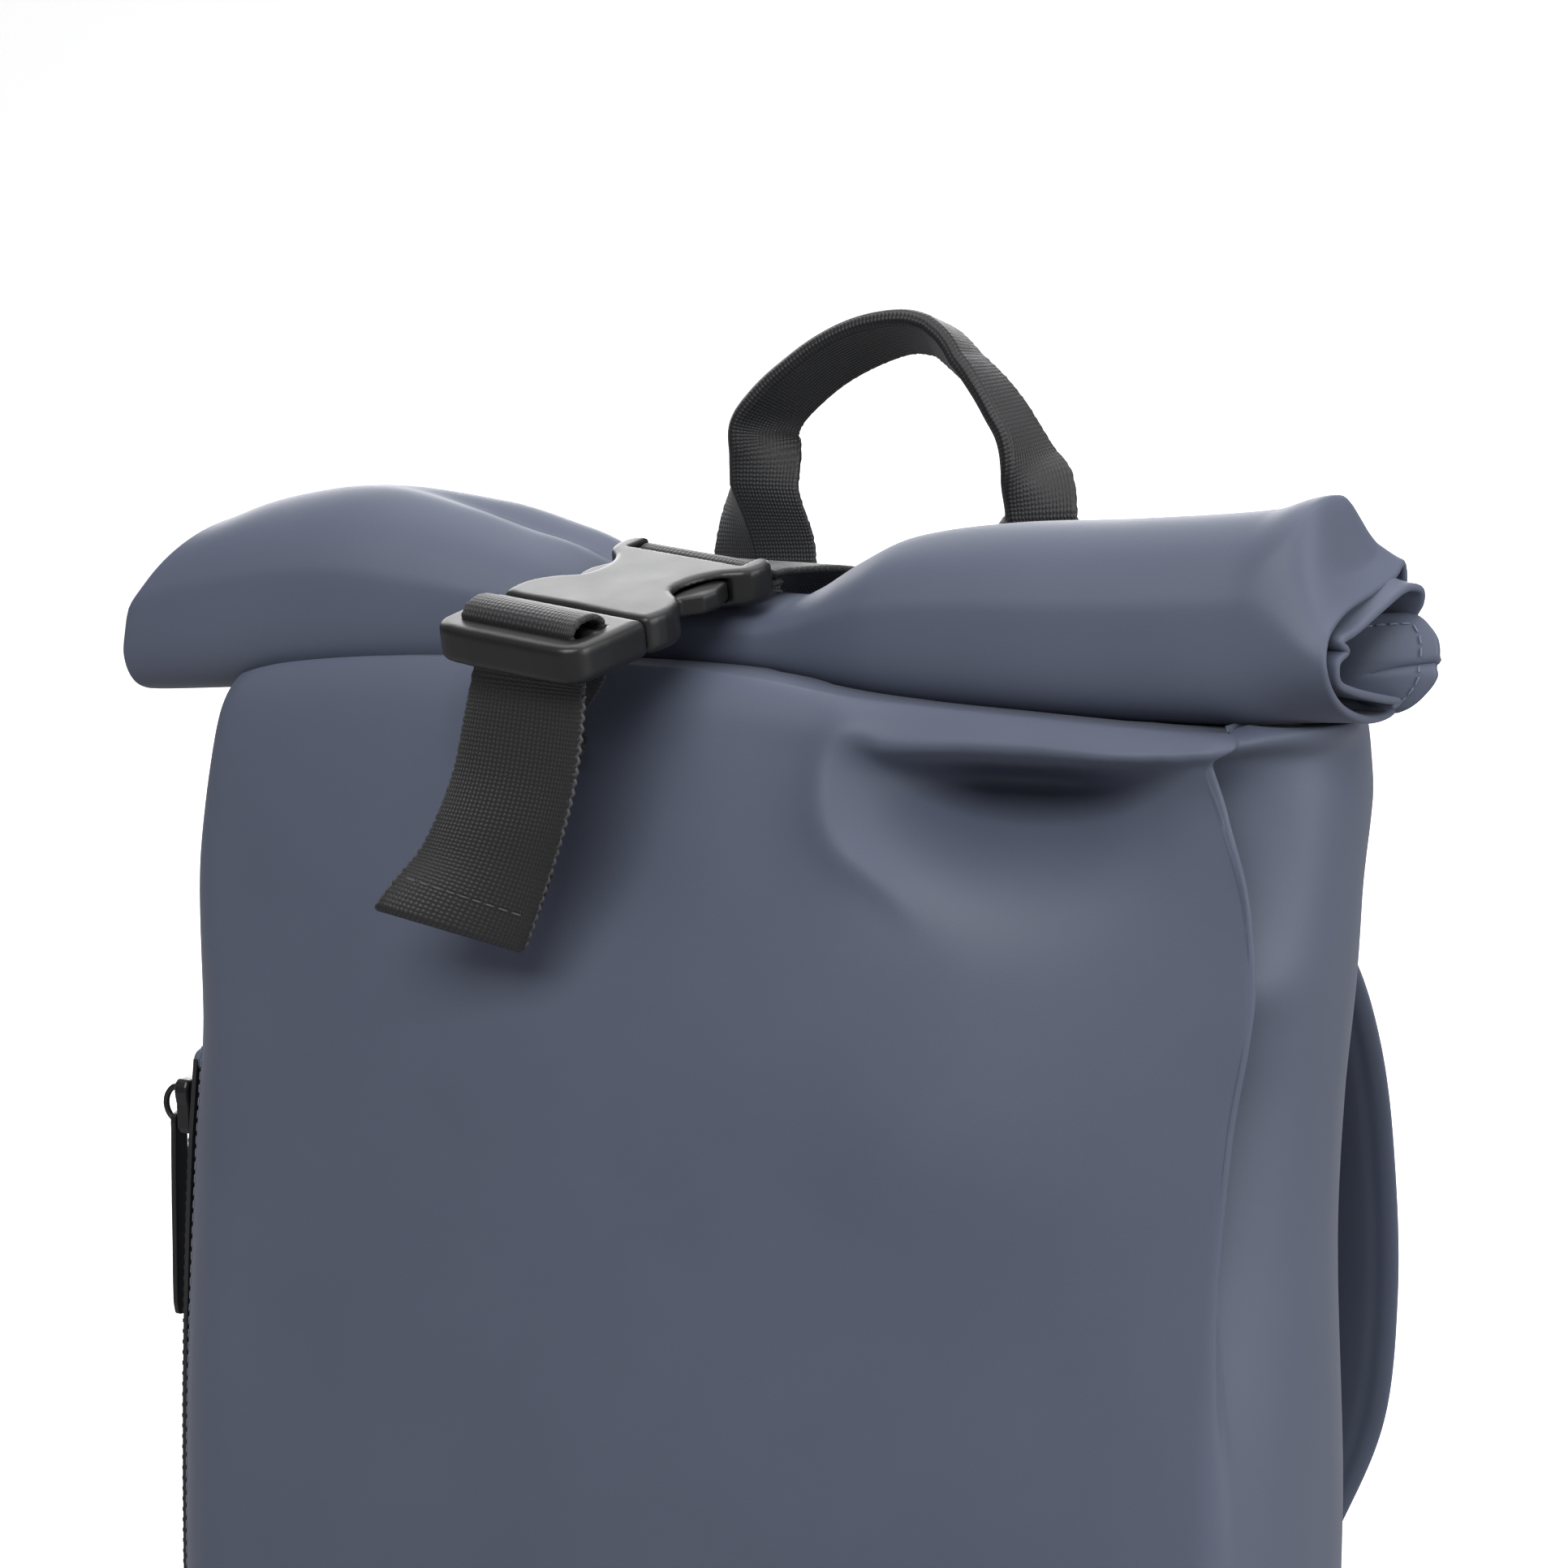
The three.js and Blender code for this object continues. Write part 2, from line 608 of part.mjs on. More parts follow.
// Socket half: a housing open at its front, with a window on each side and a slot and bar for the webbing behind.
function buckleSocket() {
  const half = buckleWidth / 2;
  const front = frameLength + clearance + 0.5;
  const rear = buckleLength;
  const at = (share) => mix(front, rear, share);
  const outline = bothSides(
    smoothHalf(
      [
        [0, front],
        [half - 1.5, front],
        [half, front + 1.5],
        [half + 0.4, at(0.19)],
        [half - 3.5, at(0.315)],
        [half - 9.6, at(0.41)],
        [half - 10.2, at(0.56)],
        [half - 7, at(0.7)],
        [half - 1.2, at(0.8)],
        [half - 0.4, rear - 3],
        [half - 3, rear],
        [0, rear],
      ],
      34,
    ),
  );
  const housing = plate(outline, buckleThickness, 1.8);
  const roof = buckleThickness / 2 - housingWall;
  const hollow = block(vec(-half + 2.2, front - 2, -roof), vec(half - 2.2, at(0.74), roof));
  const slotFrom = rearBarY - barRadius - slotDepth;
  const slot = block(
    vec(-slotWidth / 2, slotFrom, -buckleThickness),
    vec(slotWidth / 2, rear + 1, buckleThickness),
  );
  const bar = barAcross(slotWidth + 2, barRadius, rearBarY, rearBarZ);
  return joined(cut(housing, hollow, slot), bar);
}

// Places of a webbing band that turns round a bar, seen along the bar: angles in degrees from the strap's
// direction, going anticlockwise.
function turnRound(barY, barZ, from, to, count) {
  return Array.from({ length: count }, (_, k) => {
    const angle = (mix(from, to, k / (count - 1)) * Math.PI) / 180;
    const centre = fromBuckle(barY + loopRadius * Math.cos(angle), barZ + loopRadius * Math.sin(angle));
    return { centre, across: strapAcross, width: webbingWidth, thickness: webbingThickness };
  });
}

const flatPlace = (centre, across = strapAcross, width = webbingWidth, thickness = webbingThickness) => ({
  centre,
  across,
  width,
  thickness,
});

// The loose tail below the frame. drop is a share of the tail's length; left and forward are shares of the webbing
// width; turn is how far the band has turned about the vertical, in degrees, and lean its tilt in its own plane.
const tailDrop = 62;
const tailBends = table(
  ["drop", "left", "forward", "turn", "lean"],
  [
    [0.12, 0, -0.02, -16, 2],
    [0.28, 0.04, 0.02, -12, 5],
    [0.45, 0.12, 0.08, -6, 9],
    [0.62, 0.22, 0.17, 2, 13],
    [0.8, 0.36, 0.3, 12, 17],
    [1, 0.56, 0.46, 20, 19],
  ],
);

function tailPlaces() {
  const top = fromBuckle(middleBarY - loopRadius, -buckleThickness / 2);
  const rows = tailBends.map((bend) => {
    const turn = (bend.turn * Math.PI) / 180;
    const lean = (bend.lean * Math.PI) / 180;
    const centre = vec(
      top.x - bend.left * webbingWidth,
      top.y - bend.forward * webbingWidth,
      top.z - bend.drop * tailDrop,
    );
    const across = vec(Math.cos(lean) * Math.cos(turn), Math.cos(lean) * Math.sin(turn), -Math.sin(lean));
    return { ...flatPlace(centre, across), round: 0 };
  });
  return smoothPlaces(rows, 11);
}

// Front strap: from its sewn end on the front panel up through the frame, over the bar and down to the loose tail,
// whose last stretch is folded back behind itself.
function closureStrapFront() {
  const tail = tailPlaces();
  const last = tail[tail.length - 1];
  const previous = tail[tail.length - 2];
  const down = last.centre.clone().sub(previous.centre).normalize();
  const behind = down.clone().cross(last.across).normalize();
  if (behind.y < 0) behind.negate();
  const foldGap = webbingThickness + clearance + 0.1;
  const hemLength = 22;
  const fold = [0.3, 0.75, 1].map((t) => {
    const angle = t * Math.PI;
    const centre = last.centre.clone().addScaledVector(down, (Math.sin(angle) * foldGap) / 2 + 0.2);
    return { ...last, centre: centre.addScaledVector(behind, ((1 - Math.cos(angle)) * foldGap) / 2) };
  });
  const hem = [0.5, 1].map((t) => ({
    ...last,
    centre: last.centre.clone().addScaledVector(behind, foldGap).addScaledVector(down, -t * hemLength),
  }));
  const legTop = fromBuckle(middleBarY + loopRadius, -buckleThickness / 2);
  const anchorTop = shoulderHeight - 9;
  const legAcross = vec(1, 0, -0.16);
  const leg = [anchorTop, anchorTop - 10, anchorTop - 20].map((z, i) => {
    const x = legTop.x - 13 - 1.6 * i;
    return flatPlace(vec(x, seatY(x, z, -1, webbingWidth) - webbingThickness / 2 - 1.8, z), legAcross);
  });
  const between = leg[0].centre.clone().lerp(legTop, 0.3);
  between.y = Math.min(between.y, panelY(legTop.x, shoulderHeight * 0.985, -1) - 4);
  return bandSolid([
    ...leg.reverse(),
    flatPlace(between, vec(1, -0.15, -0.1)),
    flatPlace(fromBuckle(middleBarY + loopRadius, -buckleThickness / 2 - 6, 0.5)),
    flatPlace(legTop),
    ...turnRound(middleBarY, middleBarZ, 0, 180, 7),
    flatPlace(fromBuckle(middleBarY - loopRadius, -2.5)),
    ...tail,
    ...fold,
    ...hem,
  ]);
}

// Rear strap: from its sewn end on the back panel over the roll to the socket's bar, round it and back beneath.
function closureStrapRear() {
  const over = valleyTop + 3 * clearance + webbingThickness / 2;
  const doubled = webbingThickness + clearance;
  const onBack = (z) => {
    const x = lineX(panelY(lineX(0), z, 1));
    return flatPlace(vec(x, seatY(x, z, 1, webbingWidth) + webbingThickness / 2, z), vec(1, 0, 0));
  };
  const crest = -rollSetback + 0.18 * rollDepth;
  const overRoll = (y, rise) => flatPlace(vec(lineX(y), y, over + rise), levelAcross);
  return bandSolid([
    onBack(shoulderHeight * 0.84),
    onBack(shoulderHeight * 0.9),
    onBack(shoulderHeight * 0.95),
    flatPlace(vec(lineX(39), panelY(lineX(39), shoulderHeight * 0.97, 1) - 1, shoulderHeight + 3.5), vec(1, -0.1, 0)),
    overRoll(crest + 0.42 * rollDepth, doubled - 7),
    overRoll(crest + 0.2 * rollDepth, doubled - 1.5),
    overRoll(crest, doubled + 0.3),
    flatPlace(fromBuckle(rearBarY + 8, rearBarZ - barRadius + 1.4)),
    ...turnRound(rearBarY, rearBarZ, 70, 270, 7),
    flatPlace(fromBuckle(rearBarY + 5, rearBarZ - loopRadius - 0.1)),
    flatPlace(fromBuckle(rearBarY + 9, rearBarZ - loopRadius - 0.5)),
  ]);
}

// Grab handle. up is a share of the handle's rise over its sewn ends; side is a share of the body width from the
// handle's middle, lean a share of the body depth behind the back panel; fold is 0 where the webbing is flat and 1
// where it is folded in half; turn is the direction across it about the vertical and tilt its tilt, in degrees.
const handleMiddle = 14;
const handleFoot = shoulderHeight - 32;
const handleBends = table(
  ["up", "side", "lean", "fold", "turn", "tilt"],
  [
    [0, -0.139, 0, 0, 0, 0],
    [0.14, -0.137, 0, 0, 0, 0],
    [0.32, -0.134, 0.01, 0, 12, 0],
    [0.5, -0.132, 0.045, 0, 34, 0],
    [0.66, -0.131, 0.07, 0.1, 40, -8],
    [0.8, -0.124, 0.08, 0.6, 52, -25],
    [0.91, -0.1, 0.08, 0.95, 55, -40],
    [1.04, -0.062, 0.08, 1, 62, -55],
    [1.13, -0.018, 0.08, 1, 68, -72],
    [1.15, 0.022, 0.08, 1, 70, -90],
    [1.1, 0.06, 0.08, 1, 66, -118],
    [0.99, 0.092, 0.08, 1, 58, -132],
    [0.85, 0.112, 0.08, 0.8, 48, -150],
    [0.71, 0.122, 0.07, 0.25, 42, -168],
    [0.56, 0.134, 0.055, 0, 34, -180],
    [0.32, 0.139, 0.01, 0, 12, -180],
    [0.14, 0.14, 0, 0, 0, -180],
    [0, 0.14, 0, 0, 0, -180],
  ],
);

function grabHandle() {
  const rows = handleBends.map((bend) => {
    const x = handleMiddle + bend.side * bodyWidth;
    const z = handleFoot + bend.up * handleRise;
    const thickness = mix(webbingThickness, gripThickness, bend.fold);
    const footY = seatY(x, handleFoot, 1, webbingWidth) + thickness / 2;
    const sewn = seatY(x, Math.min(z, shoulderHeight * 0.97), 1, webbingWidth) + thickness / 2;
    const y = bend.up <= 0.14 ? sewn + 0.2 : footY + bend.lean * bodyDepth;
    const turn = (bend.turn * Math.PI) / 180;
    const tilt = (bend.tilt * Math.PI) / 180;
    const across = vec(Math.cos(turn) * Math.cos(tilt), Math.sin(turn), Math.cos(turn) * Math.sin(tilt));
    const width = mix(webbingWidth, gripWidth, bend.fold);
    return { centre: vec(x, y, z), across, width, thickness, round: mix(0.25, 0.6, bend.fold) };
  });
  return bandSolid(smoothPlaces(rows, 37), 8);
}

// Left side zip. X of the left side wall a little behind the front edge, at a height.
const zipTop = 272;
const zipShare = -0.62;
function zipPlace(z, out, width = zipWidth, thickness = zipThickness) {
  const [fore, middle, aft] = [-0.09, 0, 0.09].map((t) => bagPoint(z / shoulderHeight, -1, zipShare + t));
  const across = aft.clone().sub(fore).setZ(0).normalize();
  const x = Math.min(middle.x, (fore.x + aft.x) / 2) - 2 * clearance - out;
  return { centre: vec(x, middle.y, z), across, width, thickness };
}

function sideZip() {
  const steps = 9;
  return bandSolid(
    Array.from({ length: steps + 1 }, (_, k) => zipPlace(zipTop - 2 - (zipLength * k) / steps, zipThickness / 2)),
  );
}

function zipEndTack() {
  return bandSolid([zipTop - 1, zipTop + 5].map((z) => zipPlace(z, 1.1, zipWidth + 2, 1.6)));
}

// Slider body with its bail, a wire hoop that stands out from it; the pull's eye hangs on the hoop's lower side.
const sliderMiddle = zipTop - 16;
const sliderSeat = zipPlace(sliderMiddle, zipThickness + 0.8 + sliderThickness / 2).centre;
const hoopRadius = 5.2;
const hoopX = sliderSeat.x - sliderThickness / 2 - 0.6;
const pinZ = sliderMiddle - hoopRadius;
const pinX = hoopX - pullThickness / 2;

function zipSlider() {
  const body = plate(
    bothSides(
      smoothHalf([[0, -sliderLength / 2], [sliderWidth * 0.32, -sliderLength / 2], [sliderWidth * 0.4, 0],
        [sliderWidth / 2, sliderLength * 0.3], [sliderWidth * 0.36, sliderLength / 2], [0, sliderLength / 2]], 12),
    ),
    sliderThickness,
    0.9,
  );
  body.applyMatrix4(new THREE.Matrix4().makeBasis(vec(0, 1, 0), vec(0, 0, 1), vec(1, 0, 0)));
  body.translate(sliderSeat.x, sliderSeat.y, sliderMiddle);
  const centre = vec(hoopX, sliderSeat.y, sliderMiddle);
  class Hoop extends THREE.Curve {
    getPoint(t, target = vec(0, 0, 0)) {
      const angle = mix(-0.5 * Math.PI, -1.5 * Math.PI, t);
      const inwards = 1.6;
      const lead = t === 0 || t === 1 ? inwards : 0;
      return target.set(
        centre.x + lead + hoopRadius * Math.cos(angle) * 0.95,
        centre.y,
        centre.z + hoopRadius * Math.sin(angle),
      );
    }
  }
  const ring = new THREE.Shape(
    Array.from({ length: 8 }, (_, k) => {
      const angle = (k * Math.PI) / 4;
      return new THREE.Vector2(bailWire * Math.cos(angle), bailWire * Math.sin(angle));
    }),
  );
  const hoop = new THREE.ExtrudeGeometry(ring, { steps: 16, bevelEnabled: false, extrudePath: new Hoop() });
  return joined(body, hoop);
}

function zipPull() {
  const half = pullWidth / 2;
  const eyeRadius = bailWire + 0.95;
  const outline = bothSides(
    smoothHalf([[0, 3.2], [half * 0.75, 2.2], [half * 0.86, -3], [half, -pullLength * 0.6],
      [half * 0.86, -pullLength * 0.93], [half * 0.45, 3.2 - pullLength], [0, 3.2 - pullLength]], 16).reverse(),
  );
  const body = plate(outline, pullThickness, 0.5);
  const eye = new THREE.CylinderGeometry(eyeRadius, eyeRadius, 2 * pullThickness, 12).rotateX(Math.PI / 2);
  const dish = new THREE.CapsuleGeometry(half * 0.5, pullLength * 0.62, 3, 8)
    .scale(1, 1, 0.3)
    .translate(0, -pullLength * 0.5, pullThickness / 2 + 0.1);
  const made = cut(body, eye, dish);
  made.applyMatrix4(new THREE.Matrix4().makeBasis(vec(0, 1, 0), vec(0, 0, 1), vec(1, 0, 0)));
  return made.rotateZ(Math.PI).translate(pinX, sliderSeat.y, pinZ);
}

// Shoulder straps. side is a share of the half width, off a share of the half depth behind the back panel, height a
// share of the shoulder height; turn is the direction across the strap about the vertical, in degrees.
const strapBends = table(
  ["height", "side", "off", "turn", "lean"],
  [
    [0.895, 0.44, 0.01, 0, -14],
    [0.865, 0.47, 0.09, 0, -20],
    [0.83, 0.53, 0.25, 1, -26],
    [0.785, 0.61, 0.42, 8, -26],
    [0.73, 0.68, 0.52, 16, -20],
    [0.64, 0.745, 0.6, 18, -10],
    [0.55, 0.765, 0.6, 18, -2],
    [0.46, 0.76, 0.55, 16, 3],
    [0.37, 0.755, 0.42, 10, 2],
  ],
);
const lockHeight = 14;
const lockGap = 0.9;
const webbingFoot = 34;
const sewnReach = 14;
const lockReach = 11;
const looseEnd = 58;

function strapRow(bend, side, width, thickness) {
  const z = bend.height * shoulderHeight;
  const x = side * bend.side * halfWidth;
  const seated = seatY(x, z, 1, width) + thickness / 2 + 0.2;
  const y = seated + bend.off * halfDepth;
  const turn = (bend.turn * Math.PI) / 180;
  const lean = (bend.lean * Math.PI) / 180;
  const across = vec(Math.cos(lean) * Math.cos(turn), -side * Math.cos(lean) * Math.sin(turn), 0);
  across.z = -side * Math.sin(lean);
  return { centre: vec(x, y, z), across, width, thickness, round: 0.45 };
}

function shoulderStrap(side) {
  const rows = strapBends.map((bend, i) => {
    const narrow = i === 0 ? 0.78 : i >= strapBends.length - 1 ? 0.68 : 1;
    return strapRow(bend, side, padWidth * narrow, padThickness * (i === 0 ? 0.75 : 1));
  });
  return bandSolid(smoothPlaces(rows, 21), 10);
}

// The ladder lock hangs under the padded strap's end; the lower webbing runs through it to the bag's lower corner.
const strapEnd = (side) => strapRow(strapBends[strapBends.length - 1], side, padWidth, padThickness).centre;

function ladderLock(side) {
  const wide = lowerWebbingWidth / 2 + 3.5;
  const outline = [[-wide, -lockHeight], [wide, -lockHeight], [wide + 1, 0], [-wide - 1, 0]];
  const body = plate(outline.map(([x, y]) => new THREE.Vector2(x, y)), 5, 1);
  const slots = [[-4.6, -2.2], [-11, -8.2]].map(([from, to]) =>
    block(vec(-lowerWebbingWidth / 2 - 0.6, from, -5), vec(lowerWebbingWidth / 2 + 0.6, to, 5)),
  );
  const made = cut(body, ...slots);
  made.applyMatrix4(new THREE.Matrix4().makeBasis(vec(1, 0, 0), vec(0, 0, 1), vec(0, -1, 0)));
  const end = strapEnd(side);
  return made.translate(end.x, end.y, end.z - lockGap);
}

function lowerWebbing(side) {
  const end = strapEnd(side);
  const lockZ = end.z - lockGap - 6.4;
  const behind = lowerWebbingThickness / 2 + 2.5 + clearance;
  const foot = seatY(side * 0.84 * halfWidth, webbingFoot, 1, lowerWebbingWidth) + lowerWebbingThickness / 2;
  const across = vec(1, 0, 0);
  const place = (x, y, z) => flatPlace(vec(x, y, z), across, lowerWebbingWidth, lowerWebbingThickness);
  return bandSolid([
    place(end.x, end.y + behind + 2, lockZ - looseEnd),
    place(end.x, end.y + behind + 1, lockZ - 0.52 * looseEnd),
    place(end.x, end.y + behind, lockZ - lockReach),
    place(end.x, end.y + behind, lockZ + 1.5),
    place(end.x, end.y + behind - 0.3, lockZ + 2.6),
    place(end.x, end.y + behind - 1, lockZ + 3),
    place(end.x, end.y - behind + 1, lockZ + 3),
    place(end.x, end.y - behind + 0.3, lockZ + 2.6),
    place(end.x, end.y - behind, lockZ + 1.5),
    place(end.x, end.y - behind - 1, lockZ - lockReach),
    place(mix(end.x, side * 0.84 * halfWidth, 0.55), mix(end.y, foot, 0.62), mix(lockZ, webbingFoot, 0.62)),
    place(side * 0.84 * halfWidth, foot + 0.2, webbingFoot + sewnReach),
    place(side * 0.84 * halfWidth, foot + 0.2, webbingFoot - sewnReach),
  ]);
}

addPiece("bag_shell", bagShell(), "cloth");
addPiece("rolled_top", rolledTop(), "cloth");
addPiece("buckle_frame", buckleFrame(), "plastic", buckle);
addPiece("buckle_socket", buckleSocket(), "plastic", buckle);
addPiece("closure_strap_front", closureStrapFront(), "webbing");
addPiece("closure_strap_rear", closureStrapRear(), "webbing");
addPiece("grab_handle", grabHandle(), "webbing");
addPiece("side_zip", sideZip(), "zip");
addPiece("zip_end_tack", zipEndTack(), "cloth");
addPiece("zip_slider", zipSlider(), "zip");
addPiece("zip_pull", zipPull(), "zip");
for (const [name, side] of [["left", -1], ["right", 1]]) {
  addPiece(`shoulder_strap_${name}`, shoulderStrap(side), "cloth");
  addPiece(`ladder_lock_${name}`, ladderLock(side), "plastic");
  addPiece(`lower_webbing_${name}`, lowerWebbing(side), "webbing");
}

export default pack;
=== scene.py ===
import bmesh
import bpy
import math
import numpy as np
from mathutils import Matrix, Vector


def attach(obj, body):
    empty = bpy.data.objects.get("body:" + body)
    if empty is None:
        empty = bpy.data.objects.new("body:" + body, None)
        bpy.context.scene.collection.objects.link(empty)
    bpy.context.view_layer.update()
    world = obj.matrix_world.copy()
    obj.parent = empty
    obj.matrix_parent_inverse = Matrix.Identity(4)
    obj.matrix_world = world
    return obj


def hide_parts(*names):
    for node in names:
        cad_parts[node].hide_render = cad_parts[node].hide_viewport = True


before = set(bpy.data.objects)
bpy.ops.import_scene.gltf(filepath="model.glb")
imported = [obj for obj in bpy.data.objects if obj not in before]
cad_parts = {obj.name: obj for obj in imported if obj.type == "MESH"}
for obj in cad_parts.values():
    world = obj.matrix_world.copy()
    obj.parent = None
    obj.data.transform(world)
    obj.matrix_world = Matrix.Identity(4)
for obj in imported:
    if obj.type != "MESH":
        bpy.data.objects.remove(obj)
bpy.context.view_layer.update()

# The studio: a camera at the photograph's angle, a pale floor that runs into a white backdrop, and soft lights.
# One broad softbox hangs over the pack and one stands behind it on the left, so that their shine runs along the
# roll's top. One before and above the pack lights its front, and one on the right its side.
photo_side, photo_focal = 1932, 4680
view_target = np.array([0.008, 0.0, 0.352])
view_azimuth, view_elevation = np.radians([26.0, 7.5])
towards_camera = np.array([
    np.sin(view_azimuth) * np.cos(view_elevation),
    -np.cos(view_azimuth) * np.cos(view_elevation),
    np.sin(view_elevation),
])
camera = bpy.data.objects.new("camera", bpy.data.cameras.new("camera"))
bpy.context.scene.collection.objects.link(camera)
camera.location = Vector(view_target + towards_camera)
camera.rotation_mode = "QUATERNION"
camera.rotation_quaternion = Vector(-towards_camera).to_track_quat("-Z", "Y")
camera.data.sensor_width = 36
camera.data.lens = camera.data.sensor_width * photo_focal / photo_side
camera.data.clip_start = 0.01
bpy.context.scene.camera = camera
bpy.context.scene.view_settings.view_transform = "Standard"
bpy.context.scene.view_settings.look = "None"


class Socket:
    """An output socket of a node tree. An expression on sockets adds its Math nodes."""

    def __init__(self, tree, socket):
        self.tree, self.socket = tree, socket

    def math(self, operation, *values):
        node = self.tree.nodes.new("ShaderNodeMath")
        node.operation = operation
        for place, value in enumerate(values):
            if isinstance(value, Socket):
                self.tree.links.new(value.socket, node.inputs[place])
            else:
                node.inputs[place].default_value = value
        return Socket(self.tree, node.outputs[0])

    def __add__(self, other):
        return self.math("ADD", self, other)

    def __radd__(self, other):
        return self.math("ADD", other, self)

    def __sub__(self, other):
        return self.math("SUBTRACT", self, other)

    def __rsub__(self, other):
        return self.math("SUBTRACT", other, self)

    def __mul__(self, other):
        return self.math("MULTIPLY", self, other)

    def __rmul__(self, other):
        return self.math("MULTIPLY", other, self)

    def wave(self, period):
        """The sine of the value, with that period."""
        return self.math("SINE", self * (2 * math.pi / period))


class Finish:
    """A material or world whose nodes are added by name; out is its output node."""

    def __init__(self, name, holder=None):
        self.holder = holder or bpy.data.materials.new(name)
        self.holder.use_nodes = True
        self.tree = self.holder.node_tree
        self.tree.nodes.clear()

    def add(self, kind, settings=None, sockets=None, out=0):
        """Adds a node: its settings first, then the values or links of its sockets. Gives one of its outputs."""
        node = self.tree.nodes.new("ShaderNode" + kind)
        for name, value in (settings or {}).items():
            if name == "stops":
                ramp = node.color_ramp
                ramp.elements[0].position, ramp.elements[0].color = value[0]
                ramp.elements[1].position, ramp.elements[1].color = value[-1]
                for place, colour in value[1:-1]:
                    ramp.elements.new(place).color = colour
            else:
                setattr(node, name, value)
        for name, value in (sockets or {}).items():
            if isinstance(value, Socket):
                self.tree.links.new(value.socket, node.inputs[name])
            else:
                node.inputs[name].default_value = value
        return Socket(self.tree, node.outputs[out] if len(node.outputs) else None)

    def grey_mix(self, share, low, high):
        """The colour between low and high at a share, both colours given as three numbers."""
        return self.add(
            "Mix",
            {"data_type": "RGBA"},
            {0: share, 6: (*low, 1), 7: (*high, 1)},
            out=2,
        )


def soft_light(name, place, aim, size, power):
    """A rectangular softbox at a place, turned towards an aim."""
    light = bpy.data.lights.new(name, "AREA")
    light.shape, light.size, light.size_y = "RECTANGLE", *size
    light.energy = power
    box = bpy.data.objects.new(name, light)
    bpy.context.scene.collection.objects.link(box)
    box.location = place
    box.rotation_mode = "QUATERNION"
    box.rotation_quaternion = (Vector(aim) - Vector(place)).to_track_quat("-Z", "Y")


soft_light("overhead_box", (0.1, 0.3, 1.75), (0, 0, 0.36), (1.9, 1.1), 16)
soft_light("backdrop_box", (-1.15, 1.75, 1.25), (0, 0, 0.4), (2.2, 1.1), 42)
soft_light("front_box", (0.2, -1.75, 1.6), (0, 0, 0.3), (1.6, 0.8), 34)
soft_light("right_box", (1.95, -0.15, 0.85), (0.1, 0, 0.33), (1.0, 1.4), 24)

studio = Finish("studio", bpy.data.worlds.new("studio"))
bpy.context.scene.world = studio.holder
seen = studio.add("LightPath")
sky_way = studio.add("TexCoord")
up_share = studio.add("SeparateXYZ", sockets={0: sky_way}, out=2)
sky = studio.add(
    "ValToRGB",
    {"stops": [(0.0, (0.10, 0.10, 0.105, 1)), (0.5, (0.13, 0.13, 0.135, 1)), (1.0, (0.42, 0.42, 0.44, 1))]},
    {0: up_share * 0.5 + 0.5},
)
lit = studio.add("Mix", {"data_type": "RGBA"}, {0: seen, 6: sky, 7: (1, 1, 1, 1)}, out=2)
back_glow = studio.add("Background", sockets={"Color": lit, "Strength": 1.0})
studio.add("OutputWorld", sockets={"Surface": back_glow})


def put_mesh(name, points, faces, finish, uv=None, merge=None, smooth=True):
    """Puts a mesh into the scene. points are millimetres in the bag's frame, faces rows of four corners, uv one pair
    of millimetres for each point. A closed surface whose volume comes out negative is turned round."""
    points = np.asarray(points, float).reshape(-1, 3)
    faces = np.asarray(faces, int)
    a, b, c, d = (points[faces[:, k]] for k in range(4))
    volume = np.einsum("ij,ij->", a, np.cross(b, c)) + np.einsum("ij,ij->", a, np.cross(c, d))
    if volume < 0:
        faces = faces[:, ::-1]
    mesh = bpy.data.meshes.new(name)
    mesh.vertices.add(len(points))
    mesh.vertices.foreach_set("co", (points * 0.001).astype(np.float32).ravel())
    mesh.loops.add(faces.size)
    mesh.loops.foreach_set("vertex_index", faces.astype(np.int32).ravel())
    mesh.polygons.add(len(faces))
    mesh.polygons.foreach_set("loop_start", np.arange(0, faces.size, 4, dtype=np.int32))
    mesh.polygons.foreach_set("use_smooth", np.full(len(faces), smooth))
    if uv is not None:
        layer = mesh.uv_layers.new(name="UVMap")
        layer.data.foreach_set("uv", np.asarray(uv, np.float32).reshape(-1, 2)[faces.ravel()].ravel())
    mesh.update()
    if merge:
        shape = bmesh.new()
        shape.from_mesh(mesh)
        bmesh.ops.remove_doubles(shape, verts=shape.verts, dist=merge * 0.001)
        bmesh.ops.dissolve_degenerate(shape, dist=1e-7, edges=shape.edges)
        shape.to_mesh(mesh)
        shape.free()
    mesh.validate()
    mesh.materials.append(finish.holder)
    piece = bpy.data.objects.new(name, mesh)
    bpy.context.scene.collection.objects.link(piece)
    return piece


def grid_faces(rows, columns, wrap=False, start=0):
    """Corner numbers of the squares of a grid of points; wrap joins the last column to the first."""
    i, j = np.meshgrid(np.arange(rows - 1), np.arange(columns if wrap else columns - 1), indexing="ij")
    k = (j + 1) % columns
    corners = [i * columns + j, i * columns + k, (i + 1) * columns + k, (i + 1) * columns + j]
    return start + np.stack(corners, -1).reshape(-1, 4)


